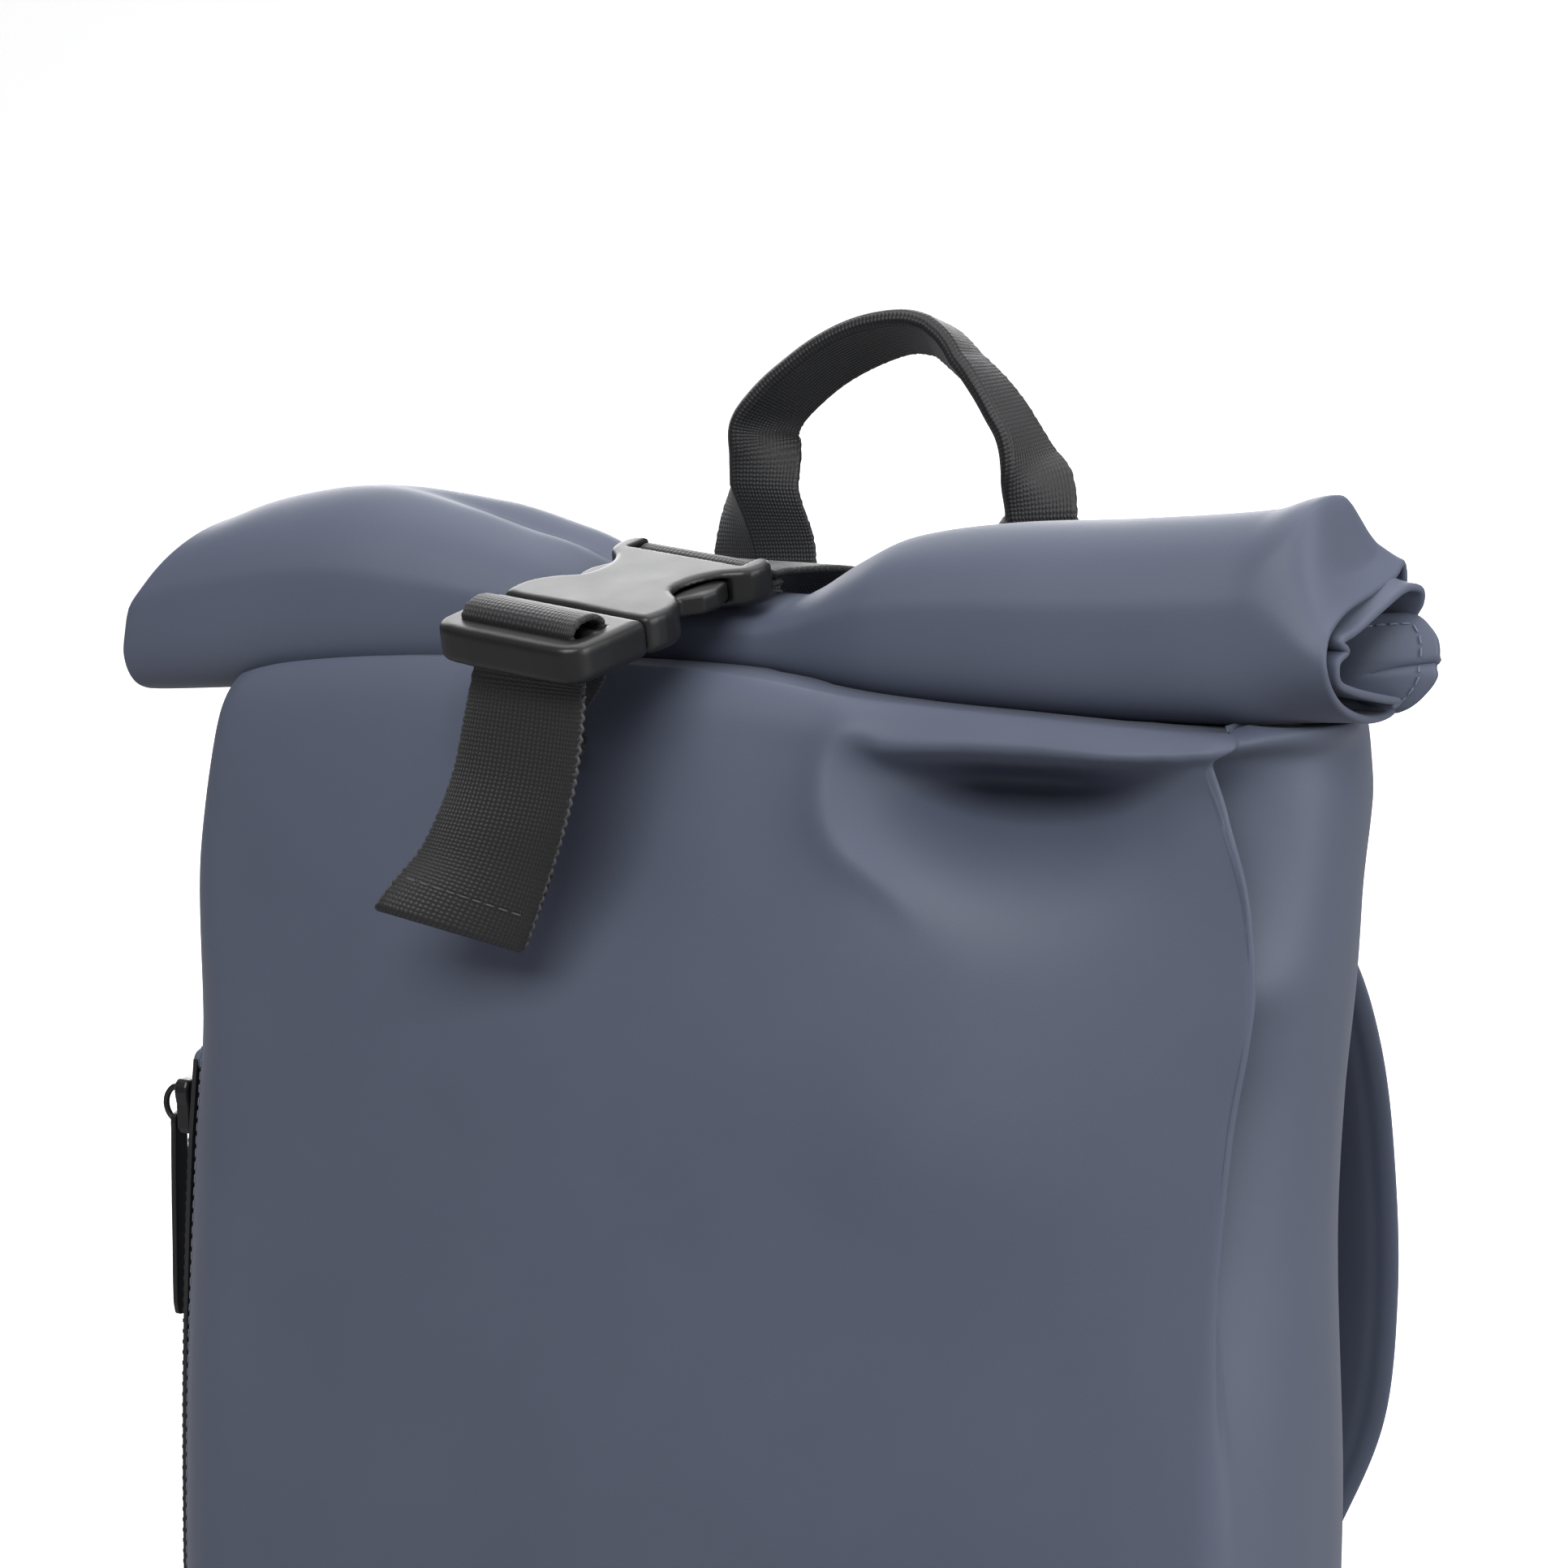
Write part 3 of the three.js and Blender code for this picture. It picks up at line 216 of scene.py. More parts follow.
floor_finish = Finish("pale_floor")
floor_shade = floor_finish.add("BsdfDiffuse", sockets={"Color": (0.93, 0.93, 0.93, 1), "Roughness": 0.5})
floor_glow = floor_finish.add("Emission", sockets={"Color": (1, 1, 1, 1), "Strength": 0.55})
floor_sum = floor_finish.add("AddShader", sockets={0: floor_shade, 1: floor_glow})
floor_dim = floor_finish.add("BsdfDiffuse", sockets={"Color": (0.3, 0.3, 0.3, 1)})
floor_seen = floor_finish.add("LightPath")
floor_mix = floor_finish.add("MixShader", sockets={0: floor_seen, 1: floor_dim, 2: floor_sum})
floor_finish.add("OutputMaterial", sockets={"Surface": floor_mix})
floor_reach, sweep_start, sweep_rise, floor_count, floor_drop = 2600, 1500, 900, 27, 0.4
floor_side = np.linspace(-floor_reach, floor_reach, floor_count)
floor_x, floor_y = np.meshgrid(floor_side, floor_side)
sweep = np.maximum(floor_y - sweep_start, 0) / (floor_reach - sweep_start)
floor_points = np.stack([floor_x, floor_y, sweep**2 * sweep_rise - floor_drop], -1)
floor = put_mesh("floor", floor_points, grid_faces(floor_count, floor_count), floor_finish)

# The bag: one piece of soft-touch coated cloth for front, sides and back, glued and welded without visible seams.
# Its mouth is flattened under the roll, so the top pulls in, the right corner stands out as an ear and the front
# buckles into a band with a deep dent below it. The left front corner is soft and the right one ends in a sharp edge
# with a crease behind it.
body_width, body_depth, shoulder_height, cloth_wall = 308.0, 120.0, 378.0, 1.6
half_width, half_depth = body_width / 2, body_depth / 2
mouth_length, mouth_width = 268.0, 12.0
roll_length, roll_height, roll_depth, roll_setback = 351.0, 54.0, 48.0, 20.0
valley_shift, strap_skew = -3.0, math.radians(16)

# Columns, all as shares: height, reach to the left, right, front and back, radius of the front corners (edge) and of
# the back ones (heel), belly of the front, and how far the left and the right wall stand out (ears)
bag_sections = np.array([
    [0, 0.93, 0.93, 0.9, 0.9, 0.3, 0.3, 0, 0, 0],
    [0.012, 0.975, 0.975, 0.97, 0.97, 0.27, 0.27, 0.02, 0.01, 0.01],
    [0.05, 0.995, 0.995, 1, 1, 0.22, 0.25, 0.06, 0.05, 0.05],
    [0.2, 1, 1, 0.99, 1, 0.17, 0.25, 0.12, 0.1, 0.1],
    [0.45, 1, 0.995, 0.95, 1, 0.13, 0.25, 0.18, 0.11, 0.16],
    [0.64, 0.995, 0.97, 0.86, 1, 0.1, 0.25, 0.24, 0.1, 0.18],
    [0.74, 0.985, 0.985, 0.83, 0.98, 0.08, 0.26, 0.26, 0.06, 0.16],
    [0.82, 0.975, 1.01, 0.81, 0.95, 0.08, 0.28, 0.25, 0.04, 0.14],
    [0.89, 0.96, 1.005, 0.8, 0.88, 0.09, 0.3, 0.22, 0.02, 0.18],
    [0.945, 0.94, 0.975, 0.8, 0.82, 0.12, 0.3, 0.16, -0.03, 0.27],
    [0.98, 0.92, 0.95, 0.79, 0.76, 0.16, 0.3, 0.1, -0.04, 0.31],
    [1, 0.9, 0.94, 0.76, 0.7, 0.2, 0.3, 0.06, -0.04, 0.31],
])
# Columns: place across, lift of the shoulder line
shoulder_line = np.array([
    [-1, 0.0], [-0.85, 0.09], [-0.6, 0.15], [-0.2, 0.17], [0.1, 0.15], [0.35, 0.07], [0.6, 0.03], [1, -0.02],
])
# Columns: across, up, reach across, reach up, depth
broad_dents = np.array([
    [0.6, 0.9, 0.24, 0.05, 0.05],
    [0.72, 0.988, 0.5, 0.02, -0.06],
    [0.32, 0.93, 0.09, 0.06, -0.03],
    [-0.15, 0.9, 0.16, 0.06, 0.07],
    [0.6, 0.72, 0.3, 0.1, -0.06],
])
# Columns: height, depth of the right wall's valley behind the front edge, depth of the crease beside that edge
side_valley = np.array([
    [0, 0, 0], [0.5, 0.02, 0], [0.6, 0.05, 0.04], [0.68, 0.06, 0.12], [0.76, 0.08, 0.2], [0.8, 0.06, 0.14],
    [0.835, 0.03, 0.05], [0.87, 0.08, 0.16], [0.92, 0.14, 0.3], [0.96, 0.15, 0.36], [0.975, 0.12, 0.3], [0.988, 0.1, 0],
    [1, 0.08, 0],
])
# Columns: place along half the roll, top, bottom, front, back
roll_sections = np.array([
    [-0.98, 0.44, -0.12, 0.42, 0.36],
    [-0.94, 0.6, -0.12, 0.46, 0.4],
    [-0.84, 0.77, -0.1, 0.49, 0.45],
    [-0.67, 0.92, -0.06, 0.5, 0.48],
    [-0.54, 0.95, -0.03, 0.5, 0.5],
    [-0.4, 0.86, -0.01, 0.47, 0.5],
    [-0.3, 0.76, 0.02, 0.43, 0.51],
    [-0.24, 0.7, 0.05, 0.39, 0.53],
    [-0.19, 0.61, 0.07, 0.33, 0.56],
    [-0.15, 0.53, 0.09, 0.3, 0.58],
    [0, 0.49, 0.1, 0.29, 0.58],
    [0.14, 0.475, 0.09, 0.3, 0.57],
    [0.2, 0.55, 0.06, 0.33, 0.55],
    [0.27, 0.68, 0.03, 0.4, 0.52],
    [0.34, 0.78, 0.01, 0.46, 0.5],
    [0.48, 0.85, -0.01, 0.5, 0.49],
    [0.68, 0.89, -0.02, 0.52, 0.48],
    [0.88, 0.95, -0.01, 0.52, 0.48],
    [0.94, 1.01, 0, 0.52, 0.48],
    [1.01, 1.03, 0.01, 0.5, 0.46],
    [1.04, 0.99, 0.03, 0.48, 0.44],
])


def along(rows, place):
    """Every other column of rows at places of the first column: cubic pieces that share their slopes, where a slope
    is the difference of a row's neighbours over the difference of their places."""
    rows = np.asarray(rows, float)
    key, last = rows[:, 0], len(rows) - 1
    order = np.arange(last + 1)
    before, after = rows[np.maximum(order - 1, 0)], rows[np.minimum(order + 1, last)]
    slope = (after - before) / (after[:, :1] - before[:, :1])
    place = np.clip(np.asarray(place, float), key[0], key[-1])
    k = np.clip(np.searchsorted(key, place, side="left") - 1, 0, last - 1)
    step = (key[k + 1] - key[k])[..., None]
    t = (place[..., None] - key[k][..., None]) / step
    start = rows[k] * (1 + 2 * t) * (1 - t) ** 2 + slope[k] * step * t * (1 - t) ** 2
    end = rows[k + 1] * t * t * (3 - 2 * t) + slope[k + 1] * step * t * t * (t - 1)
    return (start + end)[..., 1:]


def ramp(start, end, value):
    """Goes smoothly from 0 at start to 1 at end."""
    t = np.clip((value - start) / (end - start), 0, 1)
    return t * t * (3 - 2 * t)


def bell(distance, reach):
    return np.exp(-((distance / reach) ** 2))


def roll_limits(x, y):
    """Top, bottom, front and back of the roll at a place across, along a line skewed as the strap is."""
    place = (x - valley_shift - math.tan(strap_skew) * (y + roll_setback)) / (roll_length / 2)
    top, bottom, front, back = np.moveaxis(along(roll_sections, place), -1, 0)
    return (
        shoulder_height + roll_height * top,
        shoulder_height + roll_height * bottom,
        -roll_setback - roll_depth * front,
        -roll_setback + roll_depth * back,
    )


roll_wall, roll_turns, roll_square = 2.0, 2.25, 0.6


def roll_underside(x, y):
    """Height of the roll's lower surface: the lower half of an ellipse whose sines and cosines are raised to
    roll_square, so that it is flatter below and turns up quickly at the front and the back."""
    top, bottom, front, back = roll_limits(x, y)
    wide = np.clip(np.abs(y - (front + back) / 2) / ((back - front) / 2), 0, 1) ** (1 / roll_square)
    return (top + bottom) / 2 - (top - bottom) / 2 * np.sqrt(1 - wide * wide) ** roll_square


# Columns: x, z of the lower edge of the band under the roll, how strong the band is there
band_edge = np.array([
    [44, 376, 0], [53, 371.5, 0.25], [62, 368.6, 0.7], [84, 368.2, 1], [105, 368.6, 1], [134, 370, 1],
    [146, 371.2, 1], [153, 371.8, 1], [175, 372, 1],
])
# Columns: x, depth of the dent under the band
dent_depth = np.array([
    [40, 5], [50, 15], [60, 23], [74, 27], [90, 28], [108, 25], [126, 16], [140, 6], [152, 0],
])
# The spoon's middle, its reach to the left and to the right and its roundness, then the band's height and rise
dent_x, dent_z, dent_left, dent_right, dent_round, band_height, band_rise = 86.0, 361.0, 38.0, 66.0, 2.4, 7.0, 3.2


def front_folds(x, z):
    """How far, in millimetres, the front panel stands in (positive) at a place. Below the band's lower edge it goes
    in over 8 mm and comes back within the outline of a spoon, a superellipse whose lower half grows from left to
    right; a lip curls round the hollow's left end. Above the edge the band stands out as half a sine."""
    edge, strength = np.moveaxis(along(band_edge, x), -1, 0)
    below = np.maximum(edge - z, 0) / 8.0
    depth = along(dent_depth, x)[..., 0]
    reach = np.where(x < dent_x, dent_left, dent_right)
    drop = 26.0 + 24 * ramp(56, 100, x)
    across, up = (x - dent_x) / reach, (z - dent_z) / drop
    radius = (np.abs(across) ** dent_round + np.abs(up) ** dent_round) ** (1 / dent_round)
    inwards = depth * (1 - ramp(0.1, 1.1, radius)) * below**0.95 * np.exp(0.95 * (1 - below))
    above = np.clip((z - edge) / band_height, 0, 1)
    inwards -= band_rise * strength * np.sin(np.pi * np.sqrt(above)) * (z > edge)
    lip_share = ramp(1.8, 2.5, np.abs(np.arctan2(up, across)))
    beyond = (radius - 1.0) * 30
    inwards -= 1.5 * lip_share * np.where(beyond > 0, bell(beyond, 5.0), bell(beyond, 2.8))
    return inwards


def bag_point(level, sx, sy):
    """The bag's outer surface. level goes from -1 at the base's middle over 0 at its rim and 1 at the shoulder to 2 at
    the mouth; (sx, sy) runs round a square, sy = -1 being the front. Each level is a rounded rectangle, bulged by its
    belly and ears, pushed in by the valley, the crease and the dents, and lifted along the shoulder line. From there
    the cloth runs in to the mouth, never higher than the roll's underside."""
    level, sx, sy = np.broadcast_arrays(level, sx, sy)
    height = np.clip(level, 0, 1)
    left, right, front, back, edge, heel, belly, ear_left, ear_right = np.moveaxis(along(bag_sections, height), -1, 0)
    half_x = half_width * np.where(sx < 0, left, right)
    half_y = half_depth * np.where(sy < 0, front, back)
    crisp = 1 - 0.6 * ramp(0.5, 0.7, height) * (sx > 0)
    left_round = 0.36 * ramp(0.04, 0.16, height) * (1 - 0.5 * ramp(0.72, 0.88, height))
    soft_edge = np.where(sx < 0, np.maximum(edge, left_round), edge * crisp)
    corner = half_depth * np.where(sy < 0, soft_edge, heel)
    x, y = sx * half_x, sy * half_y
    inner_x = np.clip(x, corner - half_x, half_x - corner)
    inner_y = np.clip(y, corner - half_y, half_y - corner)
    out = np.hypot(x - inner_x, y - inner_y)
    grow = np.where(out > 1e-9, corner / np.maximum(out, 1e-9), 0)
    x, y = inner_x + (x - inner_x) * grow, inner_y + (y - inner_y) * grow
    nx, ny = x / half_x, y / half_y
    facing = np.maximum(0, -ny) ** 2
    y = y - half_depth * belly * (1 - nx * nx) * facing
    ear = np.where(nx < 0, ear_left, ear_right)
    x = x + np.sign(nx) * half_depth * ear * (1 - ny * ny) * nx * nx
    valley, crease = np.moveaxis(half_depth * along(side_valley, height), -1, 0)
    x = x - ramp(0.9, 1, nx) * crease * ramp(-0.99, -0.93, ny) * np.exp(-np.maximum(ny + 0.945, 0) / 0.17)
    x = x - ramp(0.8, 1, nx) * valley * np.where(ny < -0.87, bell(ny + 0.87, 0.075), bell(ny + 0.87, 0.26))
    x = x - 8.5 * np.sign(nx) * ramp(0.3, 1, np.abs(nx)) * ramp(-0.1, 0.85, ny) * ramp(0.99, 0.87, height)
    for across, up, reach_across, reach_up, depth in broad_dents:
        y = y + half_depth * depth * bell(nx - across, reach_across) * bell(height - up, reach_up) * facing
    lift = ramp(0.85, 1, height) * facing * roll_height * along(shoulder_line, nx)[..., 0]
    droop = ramp(0.85, 1, height) * (1 - facing) * 0.06 * roll_height * ramp(-0.2, 0.6, ny)
    seat = ramp(0.96, 1, height) * 6.0 * ramp(0.6, 0.85, nx) * ramp(0.7, 0.2, ny) * ramp(-0.9, -0.4, ny)
    z = shoulder_height * height + lift - droop + seat
    hood = np.sin(np.pi / 2 * np.sqrt(np.clip((z - 371.5) / 4, 0, 1))) * (level <= 1.0)
    x = x + 4.5 * ramp(0.9, 1, nx) * ramp(0.1, -0.4, ny) * hood
    y = y + front_folds(x, z) * facing * (level <= 1.0) * ramp(0.5, 0.62, height)
    under = np.where(level < 0, 1 + level, 1.0)
    x, y, z = x * under, y * under, np.where(level < 0, 0, z)
    inwards = np.clip(level - 1, 0, 1)
    lip_x = sx * mouth_length / 2 + (roll_length - mouth_length) * 0.12
    lip_y = -roll_setback + sy * mouth_width / 2
    lip_z = roll_limits(lip_x, -roll_setback)[1] - 0.3
    x, y = x + (lip_x - x) * inwards, y + (lip_y - y) * inwards
    z = np.minimum(z, roll_underside(x, y) - 0.5)
    return np.stack([x, y, z + (lip_z - z) * ramp(0.8, 1, inwards)], -1)


def eased(points, strength, passes):
    """Rounds a grid along its rows: each pass moves a point towards the middle of its two neighbours, by strength."""
    for _ in range(passes):
        middle = 0.5 * (points[2:] + points[:-2])
        points = np.concatenate(
            [points[:1], points[1:-1] + strength[1:-1, :, None] * (middle - points[1:-1]), points[-1:]]
        )
    return points


def spaced(*stretches):
    """Places along stretches given as (start, end, count), each end being the next start."""
    parts = [np.linspace(start, end, count, endpoint=False) for start, end, count in stretches]
    return np.concatenate([*parts, [stretches[-1][1]]])


bag_levels = spaced(
    (-1, 0, 8), (0, 0.05, 8), (0.05, 0.6, 34), (0.6, 0.84, 34), (0.84, 1, 62), (1, 1.2, 12), (1.2, 2, 8)
)
front_places = spaced((-1, -0.9, 8), (-0.9, 0.25, 44), (0.25, 0.9, 58), (0.9, 1, 12))
right_places = spaced((-1, -0.7, 34), (-0.7, -0.3, 16), (-0.3, 1, 22))
back_places, left_places = spaced((1, -1, 44)), spaced((1, -1, 34))
right_ones, left_ones = np.ones(len(right_places) - 1), np.ones(len(left_places) - 1)
front_ones, back_ones = np.ones(len(front_places) - 1), np.ones(len(back_places) - 1)
outline_x = np.concatenate([front_places[:-1], right_ones, back_places[:-1], -left_ones])
outline_y = np.concatenate([-front_ones, right_places[:-1], back_ones, left_places[:-1]])
bag_grid = bag_point(bag_levels[:, None], outline_x[None], outline_y[None])
softness = 0.9 * bell(bag_levels - 1.01, 0.03)[:, None] * (1 - 0.9 * ramp(0.6, 0.85, outline_x))
bag_grid = eased(bag_grid, softness, 26)

cloth = Finish("coated_cloth")
cloth_place = cloth.add("TexCoord", out=3)
cloth_grain = cloth.add("TexNoise", sockets={"Vector": cloth_place, "Scale": 2300.0, "Detail": 2.0, "Roughness": 0.6})
cloth_cloud = cloth.add("TexNoise", sockets={"Vector": cloth_place, "Scale": 22.0, "Detail": 3.0, "Roughness": 0.55})
cloth_shade = cloth.grey_mix(cloth_grain * 0.35 + cloth_cloud * 0.65, (0.075, 0.088, 0.128), (0.099, 0.114, 0.163))
cloth_bump = cloth.add("Bump", sockets={"Strength": 0.22, "Distance": 0.00012, "Height": cloth_grain})
cloth_shader = cloth.add("BsdfPrincipled", sockets={
    "Base Color": cloth_shade,
    "Roughness": cloth_cloud * 0.08 + 0.5,
    "Specular IOR Level": 0.36,
    "Sheen Weight": 0.07,
    "Sheen Roughness": 0.4,
    "Normal": cloth_bump,
})
cloth.add("OutputMaterial", sockets={"Surface": cloth_shader})

bag = put_mesh("bag_cloth", bag_grid, grid_faces(*bag_grid.shape[:2], wrap=True), cloth, merge=0.01)
wall = bag.modifiers.new("wall", "SOLIDIFY")
wall.thickness, wall.offset = cloth_wall * 0.001, -1
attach(bag, "pack")
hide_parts("bag_shell")

# The roll: the flattened mouth turned forward two times and a quarter. The strap pinches it near its middle; its right
# end stands open and shows the layers, with the folded side tucked inside and the stitched hem coming furthest out.
hem_reach = 14.0
# Columns: turns, x, y, z of the cloth's right end, and over how many millimetres the roll takes that shape
right_end = np.array([
    [0.0, 172.0, -4.0, 380.0, 40],
    [0.1, 173.0, 1.0, 384.0, 40],
    [0.2, 174.0, 3.5, 393.0, 40],
    [0.32, 174.5, 3.8, 405.0, 36],
    [0.39, 175.0, 3.0, 412.5, 22],
    [0.42, 174.9, 1.0, 415.2, 13],
    [0.47, 174.6, -6.0, 412.0, 10],
    [0.52, 172.9, -17.0, 409.1, 10],
    [0.58, 171.3, -32.0, 406.1, 10],
    [0.64, 170.4, -41.0, 402.1, 13],
    [0.70, 170.3, -44.5, 398.0, 20],
    [0.76, 170.6, -45.0, 393.3, 26],
    [0.83, 171.0, -41.0, 387.7, 30],
    [0.9, 171.9, -33.0, 382.8, 30],
    [0.97, 173.4, -20.0, 379.4, 30],
    [1.05, 174.5, -8.0, 379.2, 30],
    [1.12, 175.0, -1.5, 381.0, 34],
    [1.2, 175.5, 1.0, 386.0, 40],
    [1.3, 176.0, 1.2, 395.0, 44],
    [1.4, 178.0, 0.8, 402.0, 40],
    [1.47, 180.3, -0.4, 406.0, 34],
    [1.53, 180.8, -3.0, 409.6, 30],
    [1.57, 178.7, -8.0, 410.0, 26],
    [1.62, 176.0, -18.0, 406.0, 26],
    [1.68, 173.6, -30.0, 401.5, 28],
    [1.74, 172.4, -38.0, 399.5, 32],
    [1.79, 173.0, -35.5, 397.0, 40],
    [1.84, 171.9, -39.0, 394.6, 50],
    [1.9, 171.9, -38.0, 389.8, 60],
    [1.97, 173.4, -31.0, 387.2, 60],
    [2.05, 175.4, -21.0, 385.0, 60],
    [2.13, 176.8, -12.0, 383.4, 60],
    [2.19, 177.4, -8.0, 382.6, 60],
    [2.25, 176.5, -11.0, 381.6, 60],
])


def roll_point(share, turns):
    """The rolled cloth: share runs along it from the left end, turns along the cloth from the mouth over the back, the
    top and the front to the core. An ellipse between the roll's limits that shrinks with each turn, led over its last
    stretch to the right end's own curve."""
    share, turns = np.broadcast_arrays(share, turns)
    half = roll_length / 2
    reach = hem_reach * ramp(0.9, roll_turns, turns)
    tucked = 0.07 * roll_length * ramp(0.25, 0.5, turns) * ramp(0.8, 0.5, turns)
    left_end = -half + 0.012 * roll_length + tucked + reach
    end = along(right_end, turns)
    x = left_end + (end[..., 0] - left_end) * share + valley_shift / 2 * (1 - share)
    angle = 2 * np.pi * (turns - 0.25)
    top, bottom, front, back = roll_limits(x, -roll_setback)
    y = front + (back - front) * (1 + np.cos(angle)) / 2
    top, bottom, front, back = roll_limits(x, y)
    size = 1 - 0.085 * ramp(0.97, 1.12, turns) - 0.45 * np.maximum(turns - 1, 0)
    low = ramp(0.35, -0.2, np.sin(angle)) * ramp(1.9, 1.2, turns)
    power = 1 - (1 - roll_square) * low
    wide, high = np.cos(angle), np.sin(angle)
    wide, high = np.sign(wide) * np.abs(wide) ** power, np.sign(high) * np.abs(high) ** power
    y = (front + back) / 2 + ((back - front) / 2 - roll_wall / 2) * size * wide
    z = (top + bottom) / 2 + ((top - bottom) / 2 - roll_wall / 2) * size * high
    near = 1 - (end[..., 0] - x) / end[..., 3]
    brim = bell(turns - 0.5, 0.11)
    near = (1 - brim) * ramp(0, 1, near) + brim * (0.6 * ramp(0, 0.5, near) + 0.4 * np.clip(near, 0, 1))
    crease = bell(x + 58, 32) * ramp(-26, -38, x)
    z = z + crease * (4.2 * bell(turns - 0.4, 0.055) - 2.2 * bell(turns - 0.49, 0.025))
    slack = bell(x + 120, 30) * bell(turns - 0.6, 0.09) + 0.8 * bell(x + 148, 9) * bell(turns - 0.5, 0.1)
    z = z - 1.6 * slack
    return np.stack([x, y + (end[..., 1] - y) * near, z + (end[..., 2] - z) * near], -1)


def rounded_sheet(grid, thickness):
    """A closed sheet round a middle grid: each point moves out and in along the normal by half the thickness, and the
    grid's border is drawn in to a half circle."""
    along_rows, along_columns = np.gradient(grid, axis=0), np.gradient(grid, axis=1)
    normal = np.cross(along_columns, along_rows)
    normal /= np.maximum(np.linalg.norm(normal, axis=-1, keepdims=True), 1e-9)
    rows, columns = grid.shape[:2]
    start_run = np.cumsum(np.linalg.norm(np.diff(grid, axis=0, prepend=grid[:1]), axis=-1), axis=0)
    run = np.minimum(start_run, start_run[-1:] - start_run)
    across = np.cumsum(np.linalg.norm(np.diff(grid, axis=1, prepend=grid[:, :1]), axis=-1), axis=1)
    run = np.minimum(run, np.minimum(across, across[:, -1:] - across))
    half = thickness / 2
    inset = np.clip(1 - run / half, 0, 1)
    swell = (half * np.sqrt(np.maximum(1 - inset * inset, 0.0)))[..., None]
    points = np.concatenate([(grid + swell * normal).reshape(-1, 3), (grid - swell * normal).reshape(-1, 3)])
    outer = grid_faces(rows, columns)
    inner = grid_faces(rows, columns, start=rows * columns)[:, ::-1]
    return points, np.concatenate([outer, inner])


end_rows = np.array([0, 0.18, 0.5, 1.0, 1.6]) / roll_length
middle_rows = spaced((0.008, 0.33, 44), (0.33, 0.68, 66), (0.68, 0.9, 26), (0.9, 0.9935, 54))
roll_shares = np.concatenate([end_rows, middle_rows, 1 - end_rows[::-1]])
turn_places = np.linspace(0, roll_turns, 205)
roll_grid = roll_point(roll_shares[:, None], turn_places[None])
roll_points, roll_faces = rounded_sheet(roll_grid, roll_wall)
roll = put_mesh("rolled_cloth", roll_points, roll_faces, cloth, merge=0.02)
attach(roll, "pack")
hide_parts("rolled_top")

# The hem of the mouth comes out of the roll's right end as a stitched, D-shaped corner of doubled cloth.
hem_left, hem_foot, hem_height = 158.0, 379.6, 23.2
# Columns: share of the hem's height, x of its right edge
hem_edge = np.array([
    [0, 174.5], [0.08, 178.6], [0.22, 182.2], [0.38, 184.3], [0.5, 183.8], [0.56, 184.5], [0.75, 184.0], [0.88, 182.0],
    [0.96, 179.4], [1, 176.0],
])
hem_up, hem_across = np.linspace(0, 1, 60)[:, None], np.linspace(0, 1, 40)[None]
hem_right = along(hem_edge, hem_up)[..., 0]
hem_x = hem_left + (hem_right - hem_left) * hem_across
hem_z = hem_foot + hem_height * hem_up - 3.2 * (1 - hem_across) ** 2 * hem_up + 0.5 * np.sin(3 * hem_across)
hem_y = -13.0 + 11.0 * hem_across + 3 * hem_up - 2.5 * np.sin(np.pi * hem_across) * np.sin(np.pi * hem_up)
hem_y = hem_y + 2.2 * bell(hem_up - 0.33 - 0.2 * hem_across, 0.035) * ramp(0.3, 0.8, hem_across)
hem_points, hem_faces = rounded_sheet(np.stack([hem_x, hem_y, hem_z], -1), 2.4)
hem = put_mesh("hem_corner", hem_points, hem_faces, cloth, merge=0.02)
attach(hem, "pack")


def stitches(name, centres, ways, finish, length=2.6, thickness=0.5):
    """Threads of a seam: a small capsule at each centre, laid along its way."""
    turn, cap = np.meshgrid(np.linspace(0, 2 * np.pi, 8, endpoint=False), np.linspace(-1, 1, 7), indexing="ij")
    reach = np.sign(cap) * np.abs(cap) ** 0.6 * length / 2
    radius = thickness / 2 * np.sqrt(np.maximum(1 - cap**6, 0.0))
    ways = ways / np.linalg.norm(ways, axis=-1, keepdims=True)
    side = np.cross(ways, [0.31, 0.52, 0.79])
    side /= np.linalg.norm(side, axis=-1, keepdims=True)
    other = np.cross(ways, side)
    points = (
        centres[:, None, None]
        + reach[None, ..., None] * ways[:, None, None]
        + (radius * np.cos(turn))[None, ..., None] * side[:, None, None]
        + (radius * np.sin(turn))[None, ..., None] * other[:, None, None]
    )
    ring = grid_faces(7, 8, wrap=True)
    ring = (ring % 8) * 7 + ring // 8
    faces = (np.arange(len(centres))[:, None, None] * turn.size + ring[None]).reshape(-1, 4)
    made = put_mesh(name, points, faces, finish, merge=0.001)
    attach(made, "pack")
    return made


def path_places(points, pitch):
    """Evenly spaced places along a line of points, with the direction of the line at each."""
    run = np.concatenate([[0], np.cumsum(np.linalg.norm(np.diff(points, axis=0), axis=1))])
    at = np.arange(pitch / 2, run[-1], pitch)
    place = np.stack([np.interp(at, run, points[:, k]) for k in range(3)], -1)
    ahead = np.stack([np.interp(at + 0.3, run, points[:, k]) for k in range(3)], -1)
    behind = np.stack([np.interp(at - 0.3, run, points[:, k]) for k in range(3)], -1)
    return place, ahead - behind


thread = Finish("seam_thread")
thread_shader = thread.add("BsdfPrincipled", sockets={"Base Color": (0.16, 0.175, 0.24, 1), "Roughness": 0.6})
thread.add("OutputMaterial", sockets={"Surface": thread_shader})
hem_grid = np.stack(np.broadcast_arrays(hem_x, hem_y, hem_z), -1)
hem_line = np.concatenate([hem_grid[4:54, 33], hem_grid[54, 33:12:-1]]) + [0.5, -1.5, 0.2]
hem_stitches = stitches("hem_stitches", *path_places(hem_line, 3.1), thread, 2.3, 0.5)

